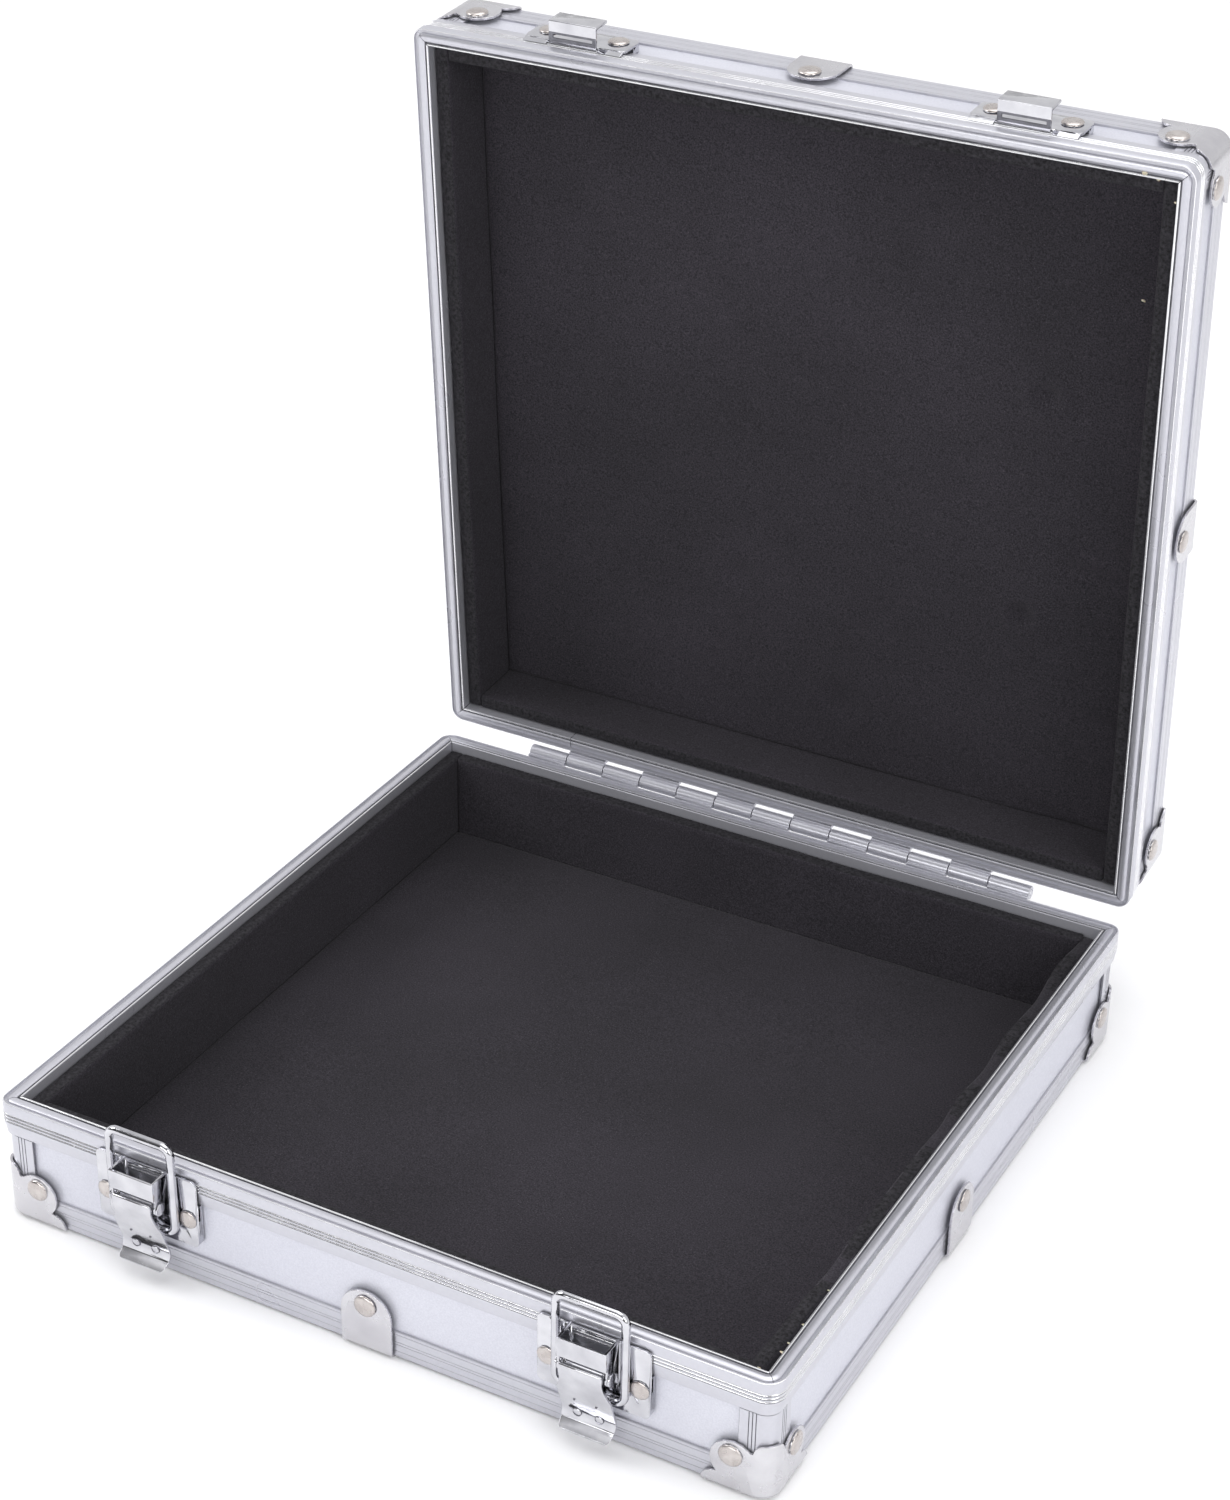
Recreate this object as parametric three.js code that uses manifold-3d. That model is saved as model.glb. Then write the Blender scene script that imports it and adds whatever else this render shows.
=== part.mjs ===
// A carrying case of aluminium-faced boards: a shallow base and lid on a piano hinge at the rear,
// with two draw latches on the front. Millimetres, +Z up. The origin is the centre of the base's
// underside, the front faces -Y, and the lid stands open against its stop.
import * as THREE from 'three';
import * as BufferGeometryUtils from 'three/addons/utils/BufferGeometryUtils.js';
import Module from 'manifold-3d';

const wasm = await Module();
wasm.setup();

// Driving dimensions of the case.
const WIDTH = 216;
const DEPTH = 215.2;
const BASE_HEIGHT = 35.2;
const LID_HEIGHT = 26.8;
const OPEN_ANGLE = 86;
const RIM_GAP = 0.3;
const GAP = 0.3;

// Boards, lining and the sections that frame them. Offsets are outward from the boards' faces.
const BOARD = 2;
const FLOOR = 3;
const SHEET = 0.7;
const CORNER_CENTRE = 3.3;
const FLANGE_OUT = 1.68;
const FLANGE_DROP = 10;
const RIDGE_OUT = 1.88;
const RIDGE_DROPS = [3.5, 4.5, 5.5];
const RIM_IN = -3;
const RIM_WEB = 1.9;
const PROFILE_OUT = 0.9;
const PROFILE_HEIGHT = 8.2;
const PROFILE_LEG = 8;
const POST_LEG = 8;
const CAP_OUT = 1.9;
const CAP_REACH = 16.8;
const CAP_HEIGHT = 16.2;
const CLIP_WIDTH = 14.4;
const BASE_CLIP_HEIGHT = 18.3;
const LID_CLIP_HEIGHT = 15.2;
const FOAM = 4;
const FOAM_BELOW_RIM = 2.6;

// Hinge and latch dimensions, with heights from the rim.
const PIN_OUT = 4.91;
const KNUCKLE_COUNT = 13;
const HINGE_LENGTH = 162;
const LATCH_X = 63.2;
const PIVOT = { out: 6.8, z: -10.5 };
const BAIL_BAR = { out: 4.2, z: -18.9 };
const BAIL_WIRE = 1.125;
const BAIL_HALF_WIDTH = 9.175;
const BAIL_TOP = 7.075;
const BRACKET = { inner: 5.95, outer: 6.65 };
const LEVER_EAR = { inner: 4.85, outer: 5.6 };
const LEVER_HALF_WIDTH = 5.75;

const material = (name, color, roughness, metalness) => {
  const look = new THREE.MeshStandardMaterial({ color, roughness, metalness });
  look.name = name;
  return look;
};
const boardLook = material('board_facing', 0xd6d6de, 0.45, 0.7);
const profileLook = material('aluminium_profile', 0xdcdce2, 0.3, 0.9);
const steelLook = material('nickelled_steel', 0xe0e0e4, 0.12, 1);
const foamLook = material('foam_lining', 0x26242a, 0.95, 0);

// Solids: every shape starts as a three.js geometry and becomes a manifold for joins and cuts.
const solidOf = (geometry) => {
  const bare = geometry.clone();
  for (const name of Object.keys(bare.attributes)) {
    if (name !== 'position') bare.deleteAttribute(name);
  }
  const merged = BufferGeometryUtils.mergeVertices(bare, 1e-4);
  const mesh = new wasm.Mesh({
    numProp: 3,
    vertProperties: new Float32Array(merged.attributes.position.array),
    triVerts: new Uint32Array(merged.index.array),
  });
  return new wasm.Manifold(mesh);
};

const geometryOf = (solid) => {
  const mesh = solid.getMesh();
  const geometry = new THREE.BufferGeometry();
  geometry.setAttribute('position', new THREE.BufferAttribute(mesh.vertProperties, 3));
  geometry.setIndex(new THREE.BufferAttribute(mesh.triVerts, 1));
  geometry.computeVertexNormals();
  return geometry;
};

const joined = (solids) => solids.reduce((whole, solid) => whole.add(solid));
const cutBy = (solid, cutters) => cutters.reduce((rest, cutter) => rest.subtract(cutter), solid);

const box = (x, y, z) => {
  const geometry = new THREE.BoxGeometry(x[1] - x[0], y[1] - y[0], z[1] - z[0]);
  geometry.translate((x[0] + x[1]) / 2, (y[0] + y[1]) / 2, (z[0] + z[1]) / 2);
  return solidOf(geometry);
};

const rod = (radius, x, centre, sides = 16) => {
  const geometry = new THREE.CylinderGeometry(radius, radius, x[1] - x[0], sides);
  geometry.rotateZ(Math.PI / 2);
  geometry.translate((x[0] + x[1]) / 2, centre.out, centre.z);
  return solidOf(geometry);
};

const polygon = (points) => new THREE.Shape(points.map(([x, y]) => new THREE.Vector2(x, y)));

const roundedRectangle = (x, y, radius, Outline = THREE.Shape) => {
  const outline = new Outline();
  outline.absarc(x[1] - radius, y[0] + radius, radius, -Math.PI / 2, 0);
  outline.absarc(x[1] - radius, y[1] - radius, radius, 0, Math.PI / 2);
  outline.absarc(x[0] + radius, y[1] - radius, radius, Math.PI / 2, Math.PI);
  outline.absarc(x[0] + radius, y[0] + radius, radius, Math.PI, 1.5 * Math.PI);
  outline.closePath();
  return outline;
};

const upright = (shape, z, curveSegments = 2) => {
  const depth = z[1] - z[0];
  const geometry = new THREE.ExtrudeGeometry(shape, { depth, bevelEnabled: false, curveSegments });
  geometry.translate(0, 0, z[0]);
  return solidOf(geometry);
};

// A shape drawn in X and height, pushed outward from y[0] to y[1].
const outward = (shape, y, curveSegments = 6) => {
  const depth = y[1] - y[0];
  const geometry = new THREE.ExtrudeGeometry(shape, { depth, bevelEnabled: false, curveSegments });
  geometry.rotateX(Math.PI / 2);
  geometry.translate(0, y[1], 0);
  return solidOf(geometry);
};

// A section drawn in outward distance and height, run along X from x[0] to x[1].
const along = (shape, x, curveSegments = 3) => {
  const depth = x[1] - x[0];
  const geometry = new THREE.ExtrudeGeometry(shape, { depth, bevelEnabled: false, curveSegments });
  geometry.rotateY(Math.PI / 2);
  geometry.rotateX(Math.PI / 2);
  geometry.translate(x[0], 0, 0);
  return solidOf(geometry);
};

const rivetHead = (radius, height, x, out, z) => {
  const profile = [[0, -0.3], [radius, -0.3], [radius, 0.3], [0.75 * radius, 0.8 * height], [0, height]];
  const points = profile.map(([across, up]) => new THREE.Vector2(across, up));
  const geometry = new THREE.LatheGeometry(points, 12);
  geometry.translate(x, out, z);
  return solidOf(geometry);
};

const addMesh = (group, name, solid, look) => {
  const mesh = new THREE.Mesh(geometryOf(solid), look);
  mesh.name = name;
  group.add(mesh);
};

// A side frame has X along the side, Y outward from the board's face and Z up from the outer panel.
const sideFrame = (group, side, frontSign) => {
  const turns = { front: frontSign > 0 ? 0 : 2, rear: frontSign > 0 ? 2 : 0, left: 1, right: 3 };
  const half = side === 'front' || side === 'rear' ? DEPTH / 2 : WIDTH / 2;
  const frame = new THREE.Group();
  const angle = turns[side] * Math.PI / 2;
  frame.rotation.z = angle;
  frame.position.set(-Math.sin(angle) * half, Math.cos(angle) * half, 0);
  group.add(frame);
  return frame;
};

// A corner frame has its origin at the sharp corner of the boards' faces, with +X and +Y outward.
const cornerFrame = (group, xSign, ySign) => {
  const frame = new THREE.Group();
  frame.position.set(xSign * WIDTH / 2, ySign * DEPTH / 2, 0);
  frame.rotation.z = Math.atan2(ySign, xSign) - Math.PI / 4;
  group.add(frame);
  return frame;
};

const planOutline = (offset, radius, Outline) => roundedRectangle(
  [-WIDTH / 2 - offset, WIDTH / 2 + offset],
  [-DEPTH / 2 - offset, DEPTH / 2 + offset],
  radius,
  Outline,
);

const planRing = (outer, outerRadius, inner, innerRadius, z) => {
  const shape = planOutline(outer, outerRadius);
  shape.holes.push(planOutline(inner, innerRadius, THREE.Path));
  return upright(shape, z);
};

// The lip is one bent section: a rim over the boards' edges, a skirt inside and a ridged flange outside.
const lipFrame = (height) => {
  const sharp = 0.4;
  const radius = (offset) => CORNER_CENTRE + offset;
  const ridge = (drop) => planRing(
    RIDGE_OUT, radius(RIDGE_OUT), GAP, radius(GAP), [height - drop - 0.15, height - drop + 0.15],
  );
  return joined([
    planRing(0.2, 4, RIM_IN, sharp, [height - RIM_WEB, height]),
    planRing(FLANGE_OUT, radius(FLANGE_OUT), -1, radius(-1), [height - RIM_WEB, height - 0.55]),
    planRing(FLANGE_OUT, radius(FLANGE_OUT), 1.2, radius(1.2), [height - 0.7, height - 0.25]),
    planRing(FLANGE_OUT, radius(FLANGE_OUT), GAP, radius(GAP), [height - FLANGE_DROP, height - 1.5]),
    planRing(-BOARD - GAP, sharp, RIM_IN, sharp, [height - 6, height - 1.5]),
    ...RIDGE_DROPS.map(ridge),
  ]);
};

// The outer panel: a board flush with the frame's legs, with a tongue over them.
const outerPanel = () => {
  const inset = PROFILE_LEG + GAP;
  const halfX = WIDTH / 2 - inset;
  const halfY = DEPTH / 2 - inset;
  const reach = CAP_REACH + GAP;
  const rebate = (xSign, ySign) => box(
    [xSign * WIDTH / 2 - reach, xSign * WIDTH / 2 + reach],
    [ySign * DEPTH / 2 - reach, ySign * DEPTH / 2 + reach],
    [-1, SHEET + GAP],
  );
  const slab = box([-halfX, halfX], [-halfY, halfY], [0, FLOOR]);
  const tongue = upright(planOutline(0, CORNER_CENTRE), [SHEET + GAP, FLOOR]);
  const rebates = [rebate(-1, -1), rebate(-1, 1), rebate(1, -1), rebate(1, 1)];
  return cutBy(slab.add(tongue), rebates);
};

const wallBoard = (sideLength, height) => {
  const half = sideLength / 2 - 5.6;
  return box([-half, half], [-BOARD, 0], [FLOOR + GAP, height - RIM_WEB - GAP]);
};

// The edge profile is an angle with a round nose, let in where the caps and the clip pass under it.
const edgeProfile = (sideLength, hasClip) => {
  const nose = 1;
  const section = new THREE.Shape();
  section.moveTo(PROFILE_OUT, PROFILE_HEIGHT);
  section.lineTo(GAP, PROFILE_HEIGHT);
  section.lineTo(GAP, SHEET);
  section.lineTo(-PROFILE_LEG, SHEET);
  section.lineTo(-PROFILE_LEG, 0);
  section.lineTo(PROFILE_OUT - nose, 0);
  section.absarc(PROFILE_OUT - nose, nose, nose, -Math.PI / 2, 0);
  section.closePath();
  const half = sideLength / 2 - 7;
  const capStart = sideLength / 2 - CAP_REACH - GAP;
  const below = [-1, SHEET + GAP];
  const acrossAll = [-PROFILE_LEG - 1, 2];
  const cutters = [
    box([capStart, half + 1], acrossAll, below),
    box([-half - 1, -capStart], acrossAll, below),
  ];
  if (hasClip) {
    const clipHalf = CLIP_WIDTH / 2 + GAP;
    cutters.push(box([-clipHalf, clipHalf], acrossAll, below));
  }
  return cutBy(along(section, [-half, half]), cutters);
};

// The post covers the boards' ends: two thin legs, a round outside and a core between the boards.
const cornerPost = (height) => {
  const legInner = GAP;
  const core = 5.3;
  const outerRadius = CORNER_CENTRE + PROFILE_OUT;
  const legs = new THREE.Shape();
  legs.moveTo(-POST_LEG, PROFILE_OUT);
  legs.lineTo(-POST_LEG, legInner);
  legs.lineTo(-core, legInner);
  legs.lineTo(-core, -BOARD);
  legs.lineTo(-BOARD, -BOARD);
  legs.lineTo(-BOARD, -core);
  legs.lineTo(legInner, -core);
  legs.lineTo(legInner, -POST_LEG);
  legs.lineTo(PROFILE_OUT, -POST_LEG);
  legs.absarc(-CORNER_CENTRE, -CORNER_CENTRE, outerRadius, 0, Math.PI / 2);
  legs.closePath();
  const coreShape = new THREE.Shape();
  coreShape.moveTo(-core, -BOARD);
  coreShape.lineTo(-BOARD, -BOARD);
  coreShape.lineTo(-BOARD, -core);
  coreShape.lineTo(-0.1, -core);
  coreShape.absarc(-CORNER_CENTRE, -CORNER_CENTRE, CORNER_CENTRE - 0.1, 0, Math.PI / 2);
  coreShape.lineTo(-core, -0.1);
  coreShape.closePath();
  return joined([
    upright(legs, [PROFILE_HEIGHT + GAP, height - FLANGE_DROP - GAP]),
    upright(coreShape, [FLOOR + GAP, height - RIM_WEB - GAP]),
  ]);
};

// A stamped cap: a thin shell over the three faces at a corner, with a lobe round each rivet.
const cornerCap = () => {
  const block = (offset, radius, nose, floor) => {
    const far = -30;
    const plan = new THREE.Shape();
    plan.moveTo(far, far);
    plan.lineTo(offset, far);
    plan.absarc(offset - radius, offset - radius, radius, 0, Math.PI / 2);
    plan.lineTo(far, offset);
    plan.closePath();
    const geometry = new THREE.ExtrudeGeometry(plan, {
      depth: 30,
      curveSegments: 5,
      bevelEnabled: true,
      bevelSegments: 2,
      bevelSize: nose,
      bevelThickness: nose,
      bevelOffset: -nose,
    });
    geometry.translate(0, 0, floor + nose);
    return solidOf(geometry);
  };
  const radius = CORNER_CENTRE + CAP_OUT;
  const shell = block(CAP_OUT, radius, 1.5, 0).subtract(block(CAP_OUT - SHEET, radius - SHEET, 0.5, SHEET));
  const lobe = { across: 8.6, up: 8.9, radius: 6.1 };
  const face = (sign) => {
    const outline = new THREE.Shape();
    outline.moveTo(3 * sign, -1);
    outline.lineTo(3 * sign, CAP_HEIGHT);
    outline.lineTo(-1.2 * sign, CAP_HEIGHT);
    outline.quadraticCurveTo(-3.2 * sign, CAP_HEIGHT, -3.6 * sign, 13.4);
    const from = sign > 0 ? 0.26 * Math.PI : 0.74 * Math.PI;
    const to = sign > 0 ? 1.25 * Math.PI : -0.25 * Math.PI;
    outline.absarc(-lobe.across * sign, lobe.up, lobe.radius, from, to, sign < 0);
    outline.quadraticCurveTo(-15.8 * sign, 4.2, -CAP_REACH * sign, 1.6);
    outline.lineTo(-CAP_REACH * sign, -1);
    outline.closePath();
    return outline;
  };
  const bottom = polygon([
    [3, 3], [-CAP_REACH, 3], [-CAP_REACH, -9], [-9, -CAP_REACH], [3, -CAP_REACH],
  ]);
  // Each outline shapes its own side of the corner, up to the diagonal.
  const firstSide = upright(polygon([[-30, -30.1], [5, 4.9], [5, 6], [-30, 6]]), [-2, 20]);
  const secondSide = upright(polygon([[-30.1, -30], [6, -30], [6, 5], [4.9, 5]]), [-2, 20]);
  const firstFace = outward(face(1), [-12, 4], 4).intersect(firstSide);
  const secondFace = outward(face(-1), [-12, 4], 4).rotate([0, 0, -90]).intersect(secondSide);
  const keep = joined([firstFace, secondFace, upright(bottom, [-1, SHEET + GAP])]);
  const head = rivetHead(3, 1, -9.2, CAP_OUT, 11);
  const sideHead = rivetHead(3, 1, 9.2, CAP_OUT, 11).rotate([0, 0, -90]);
  return joined([shell.intersect(keep), head, sideHead]);
};

// A clip straddles the edge profile: a round-topped tongue, a bend and a short foot under the panel.
const edgeClip = (clipHeight) => {
  const bend = 1.6;
  const section = new THREE.Shape();
  section.moveTo(CAP_OUT, 20);
  section.lineTo(CAP_OUT - SHEET, 20);
  section.lineTo(CAP_OUT - SHEET, bend);
  section.absarc(CAP_OUT - bend, bend, bend - SHEET, 0, -Math.PI / 2, true);
  section.lineTo(-PROFILE_LEG, SHEET);
  section.lineTo(-PROFILE_LEG, 0);
  section.absarc(CAP_OUT - bend, bend, bend, -Math.PI / 2, 0);
  section.closePath();
  const half = CLIP_WIDTH / 2;
  const outline = new THREE.Shape();
  outline.moveTo(-half, -1);
  outline.lineTo(half, -1);
  outline.absarc(0, clipHeight - half, half, 0, Math.PI);
  outline.closePath();
  const plate = along(section, [-half, half]).intersect(outward(outline, [-10, 4], 5));
  return plate.add(rivetHead(2.9, 1, 0, CAP_OUT, clipHeight - 4.3));
};

const foamSides = (height) => {
  const outer = RIM_IN - GAP;
  return planRing(outer, 0.5, outer - FOAM, 0.5, [FLOOR + GAP, height - FOAM_BELOW_RIM]);
};

const foamSheet = () => {
  const inset = -RIM_IN + FOAM + 2 * GAP;
  const halfX = WIDTH / 2 - inset;
  const halfY = DEPTH / 2 - inset;
  return box([-halfX, halfX], [-halfY, halfY], [FLOOR + GAP, FLOOR + GAP + FOAM]);
};

// One half of the case, with its outer panel down and its rim up.
const tray = (group, prefix, height, clipHeight, frontSign) => {
  addMesh(group, `${prefix}_panel`, outerPanel(), boardLook);
  addMesh(group, `${prefix}_lip_frame`, lipFrame(height), profileLook);
  addMesh(group, `${prefix}_foam_sides`, foamSides(height), foamLook);
  addMesh(group, `${prefix}_foam_sheet`, foamSheet(), foamLook);
  for (const side of ['front', 'rear', 'left', 'right']) {
    const frame = sideFrame(group, side, frontSign);
    const sideLength = side === 'front' || side === 'rear' ? WIDTH : DEPTH;
    const hasClip = side !== 'rear';
    addMesh(frame, `${prefix}_wall_${side}`, wallBoard(sideLength, height), boardLook);
    addMesh(frame, `${prefix}_edge_${side}`, edgeProfile(sideLength, hasClip), profileLook);
    if (hasClip) addMesh(frame, `${prefix}_clip_${side}`, edgeClip(clipHeight), steelLook);
  }
  for (const [xName, xSign] of [['left', -1], ['right', 1]]) {
    for (const [yName, ySign] of [['front', frontSign], ['rear', -frontSign]]) {
      const frame = cornerFrame(group, xSign, ySign);
      addMesh(frame, `${prefix}_post_${yName}_${xName}`, cornerPost(height), profileLook);
      addMesh(frame, `${prefix}_cap_${yName}_${xName}`, cornerCap(), steelLook);
    }
  }
};

// The piano hinge: two leaves with knuckles taken in turn, and a long pin.
const BARREL = { out: PIN_OUT, z: RIM_GAP / 2 };
const BARREL_RADIUS = 2;
const LEAF = { inner: 2.05, outer: 3.1, height: 9 };

const hingeLeaf = (sign, parity) => {
  const pitch = HINGE_LENGTH / KNUCKLE_COUNT;
  const half = HINGE_LENGTH / 2;
  const far = BARREL.z + sign * LEAF.height;
  const leaf = box([-half, half], [LEAF.inner, LEAF.outer], [Math.min(BARREL.z, far), Math.max(BARREL.z, far)]);
  const knuckles = [];
  const reliefs = [];
  for (let index = 0; index < KNUCKLE_COUNT; index += 1) {
    const start = -half + index * pitch;
    if (index % 2 === parity) {
      knuckles.push(rod(BARREL_RADIUS, [start, start + pitch], BARREL, 14));
    } else {
      const low = BARREL.z - BARREL_RADIUS - GAP;
      const high = BARREL.z + BARREL_RADIUS + GAP;
      const margin = GAP / 2;
      reliefs.push(box([start - margin, start + pitch + margin], [1, 8], [low, high]));
    }
  }
  const bore = rod(0.95, [-half - 1, half + 1], BARREL, 14);
  return cutBy(joined([leaf, ...knuckles]), [...reliefs, bore]);
};

const hingePin = () => rod(0.88, [-HINGE_LENGTH / 2, HINGE_LENGTH / 2], BARREL, 14);

// Latch parts, in a frame with X along the front, Y outward and Z up from the rim.
const PLATE = { half: 15, back: 2, face: 2.75, wall: 0.8 };

const dishedPlate = (z, cornerRadius, flangeLow, flangeHigh) => {
  const { half, back, face, wall } = PLATE;
  const outline = roundedRectangle([-half, half], z, cornerRadius);
  const rimOutline = roundedRectangle([-half, half], z, cornerRadius);
  const inner = [[-half + wall, half - wall], [z[0] + wall, z[1] - wall]];
  rimOutline.holes.push(roundedRectangle(inner[0], inner[1], cornerRadius - wall, THREE.Path));
  const flangeRoom = box([-half - 1, half + 1], [-1, back - 0.02], [flangeLow, flangeHigh]);
  const turnedEdge = outward(rimOutline, [GAP, back + 0.1], 2).subtract(flangeRoom);
  return outward(outline, [back, face], 2).add(turnedEdge);
};

const latchPlate = () => {
  const ear = new THREE.Shape();
  ear.moveTo(2.2, -15.8);
  ear.lineTo(2.2, -1.9);
  ear.lineTo(8.9, -1.9);
  ear.lineTo(8.9, -7.25);
  ear.lineTo(8.2, -7.25);
  ear.absarc(PIVOT.out, PIVOT.z, 1.75, 0.2 * Math.PI, -0.6 * Math.PI, true);
  ear.closePath();
  const front = box([-BRACKET.outer, BRACKET.outer], [8.2, 8.9], [-7.25, -1.9]);
  const window = box([-5.3, 5.3], [1, 3.5], [-14.5, -3.4]);
  const heads = [-12.3, 12.3].map((x) => rivetHead(2.5, 0.7, x, PLATE.face, -14.2));
  const body = joined([
    dishedPlate([-22.5, -2.3], 1.6, -FLANGE_DROP - GAP, 2),
    along(ear, [-BRACKET.outer, -BRACKET.inner]),
    along(ear, [BRACKET.inner, BRACKET.outer]),
    front,
    ...heads,
  ]);
  return cutBy(body, [window, rod(1.06, [-8, 8], PIVOT)]);
};

const pivotPin = () => joined([
  rod(1, [-BRACKET.outer - 0.1, BRACKET.outer + 0.1], PIVOT),
  rod(1.75, [-BRACKET.outer - 0.6, -BRACKET.outer - 0.05], PIVOT),
  rod(1.75, [BRACKET.outer + 0.05, BRACKET.outer + 0.6], PIVOT),
]);

// The lever: a sloping plate with a flared finger lip, and two inner ears with open hooks for the bail.
const latchLever = () => {
  const sheet = 0.7;
  const face = polygon([
    [9.4, -9], [9.35, -11.4], [7.3, -18.2], [4.75, -25.2], [4.6, -26.7], [5.2, -28.4], [7.7, -29.9],
    [7.4, -29.9 - sheet], [4.8, -29], [4.6 - sheet, -26.9], [4.75 - sheet, -25.1],
    [7.3 - sheet, -18], [9.35 - sheet, -11.4], [9.4 - sheet, -9],
  ]);
  const outline = new THREE.Shape();
  outline.moveTo(-LEVER_HALF_WIDTH, -8);
  outline.lineTo(-LEVER_HALF_WIDTH, -13);
  outline.quadraticCurveTo(-6, -16, -7.2, -17.6);
  outline.lineTo(-7.2, -27.6);
  outline.quadraticCurveTo(-7.2, -31, -3.6, -31);
  outline.lineTo(3.6, -31);
  outline.quadraticCurveTo(7.2, -31, 7.2, -27.6);
  outline.lineTo(7.2, -17.6);
  outline.quadraticCurveTo(6, -16, LEVER_HALF_WIDTH, -13);
  outline.lineTo(LEVER_HALF_WIDTH, -8);
  outline.closePath();
  const ear = new THREE.Shape();
  ear.moveTo(9, -9.3);
  ear.absarc(PIVOT.out, PIVOT.z, 1.9, 0.5 * Math.PI, Math.PI);
  ear.lineTo(3.5, -16.6);
  ear.lineTo(3.5, -20.9);
  ear.lineTo(5.9, -20.9);
  ear.lineTo(7, -18);
  ear.lineTo(9, -11.6);
  ear.closePath();
  const hookRadius = BAIL_WIRE + 0.15;
  const seat = rod(hookRadius, [-6, 6], BAIL_BAR);
  const mouth = box([-6, 6], [0, BAIL_BAR.out], [BAIL_BAR.z - hookRadius, BAIL_BAR.z + hookRadius]);
  const plate = along(face, [-7.2, 7.2]).intersect(outward(outline, [0, 12], 3));
  const leftEar = along(ear, [-LEVER_EAR.outer, -LEVER_EAR.inner]);
  const rightEar = along(ear, [LEVER_EAR.inner, LEVER_EAR.outer]);
  const body = joined([plate, leftEar, rightEar]);
  return cutBy(body, [rod(1.08, [-6, 6], PIVOT), seat, mouth]);
};

// The bail is one closed loop of round wire, drawn as a U and the bar that closes it.
const latchBail = () => {
  const bend = 2.6;
  const out = BAIL_BAR.out;
  const half = BAIL_HALF_WIDTH;
  const point = (x, z) => new THREE.Vector3(x, out, z);
  const path = new THREE.CurvePath();
  const turn = (start, corner, end) => path.add(new THREE.QuadraticBezierCurve3(start, corner, end));
  const run = (start, end) => path.add(new THREE.LineCurve3(start, end));
  const { z: low } = BAIL_BAR;
  turn(point(-half + bend, low), point(-half, low), point(-half, low + bend));
  run(point(-half, low + bend), point(-half, BAIL_TOP - bend));
  turn(point(-half, BAIL_TOP - bend), point(-half, BAIL_TOP), point(-half + bend, BAIL_TOP));
  run(point(-half + bend, BAIL_TOP), point(half - bend, BAIL_TOP));
  turn(point(half - bend, BAIL_TOP), point(half, BAIL_TOP), point(half, BAIL_TOP - bend));
  run(point(half, BAIL_TOP - bend), point(half, low + bend));
  turn(point(half, low + bend), point(half, low), point(half - bend, low));
  const section = new THREE.Shape();
  section.absarc(0, 0, BAIL_WIRE, 0, 2 * Math.PI);
  const wire = new THREE.ExtrudeGeometry(section, {
    steps: 40,
    curveSegments: 5,
    extrudePath: path,
    bevelEnabled: false,
  });
  const bar = rod(BAIL_WIRE, [-half + bend - 0.2, half - bend + 0.2], BAIL_BAR, 10);
  return solidOf(wire).add(bar);
};

// The catch on the lid: a dished plate whose front edge is folded into an upward hook.
const lidCatch = () => {
  const strip = box([-7.1, 7.1], [PLATE.back, 8.3], [4.5, 5.3]);
  const lip = box([-7.1, 7.1], [7.5, 8.3], [4.5, 11]);
  const neck = box([-7.1, 7.1], [PLATE.back, PLATE.face], [4.5, 6]);
  const slot = box([-5.9, 5.9], [3.6, 4.6], [4, 6]);
  const heads = [-10.3, 10.3].map((x) => rivetHead(2.8, 0.8, x, PLATE.face, 11));
  const plate = dishedPlate([5.3, 14.8], 1.8, 0, FLANGE_DROP + GAP);
  return joined([plate, strip, lip, neck, ...heads]).subtract(slot);
};

const attacheCase = new THREE.Group();
tray(attacheCase, 'base', BASE_HEIGHT, BASE_CLIP_HEIGHT, -1);

const pinHeight = BASE_HEIGHT + BARREL.z;
const pinY = DEPTH / 2 + PIN_OUT;

// The lid's pieces stand in the closed position inside a group that is turned open about the pin.
const lidPivot = new THREE.Group();
lidPivot.position.set(0, pinY, pinHeight);
lidPivot.rotation.x = -THREE.MathUtils.degToRad(OPEN_ANGLE);
attacheCase.add(lidPivot);
const lidClosed = new THREE.Group();
lidClosed.position.set(0, -pinY, -pinHeight);
lidPivot.add(lidClosed);
const lidTray = new THREE.Group();
lidTray.position.z = BASE_HEIGHT + RIM_GAP + LID_HEIGHT;
lidTray.rotation.x = Math.PI;
lidClosed.add(lidTray);
tray(lidTray, 'lid', LID_HEIGHT, LID_CLIP_HEIGHT, 1);

const rearFrame = (group) => {
  const frame = new THREE.Group();
  frame.position.set(0, DEPTH / 2, BASE_HEIGHT);
  group.add(frame);
  return frame;
};
const baseRear = rearFrame(attacheCase);
addMesh(baseRear, 'hinge_leaf_base', hingeLeaf(-1, 0), profileLook);
addMesh(baseRear, 'hinge_pin', hingePin(), steelLook);
addMesh(rearFrame(lidClosed), 'hinge_leaf_lid', hingeLeaf(1, 1), profileLook);

const frontFrame = (group, x, z) => {
  const frame = new THREE.Group();
  frame.position.set(x, -DEPTH / 2, z);
  frame.rotation.z = Math.PI;
  group.add(frame);
  return frame;
};
for (const [name, x] of [['left', -LATCH_X], ['right', LATCH_X]]) {
  const latch = frontFrame(attacheCase, x, BASE_HEIGHT);
  addMesh(latch, `latch_plate_${name}`, latchPlate(), steelLook);
  addMesh(latch, `latch_pivot_pin_${name}`, pivotPin(), steelLook);
  addMesh(latch, `latch_lever_${name}`, latchLever(), steelLook);
  addMesh(latch, `latch_bail_${name}`, latchBail(), steelLook);
  const catchFrame = frontFrame(lidClosed, x, BASE_HEIGHT + RIM_GAP);
  addMesh(catchFrame, `lid_catch_${name}`, lidCatch(), steelLook);
}

export default attacheCase;
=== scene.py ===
import math

import bmesh
import bpy
from mathutils import Matrix, Vector, noise


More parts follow.
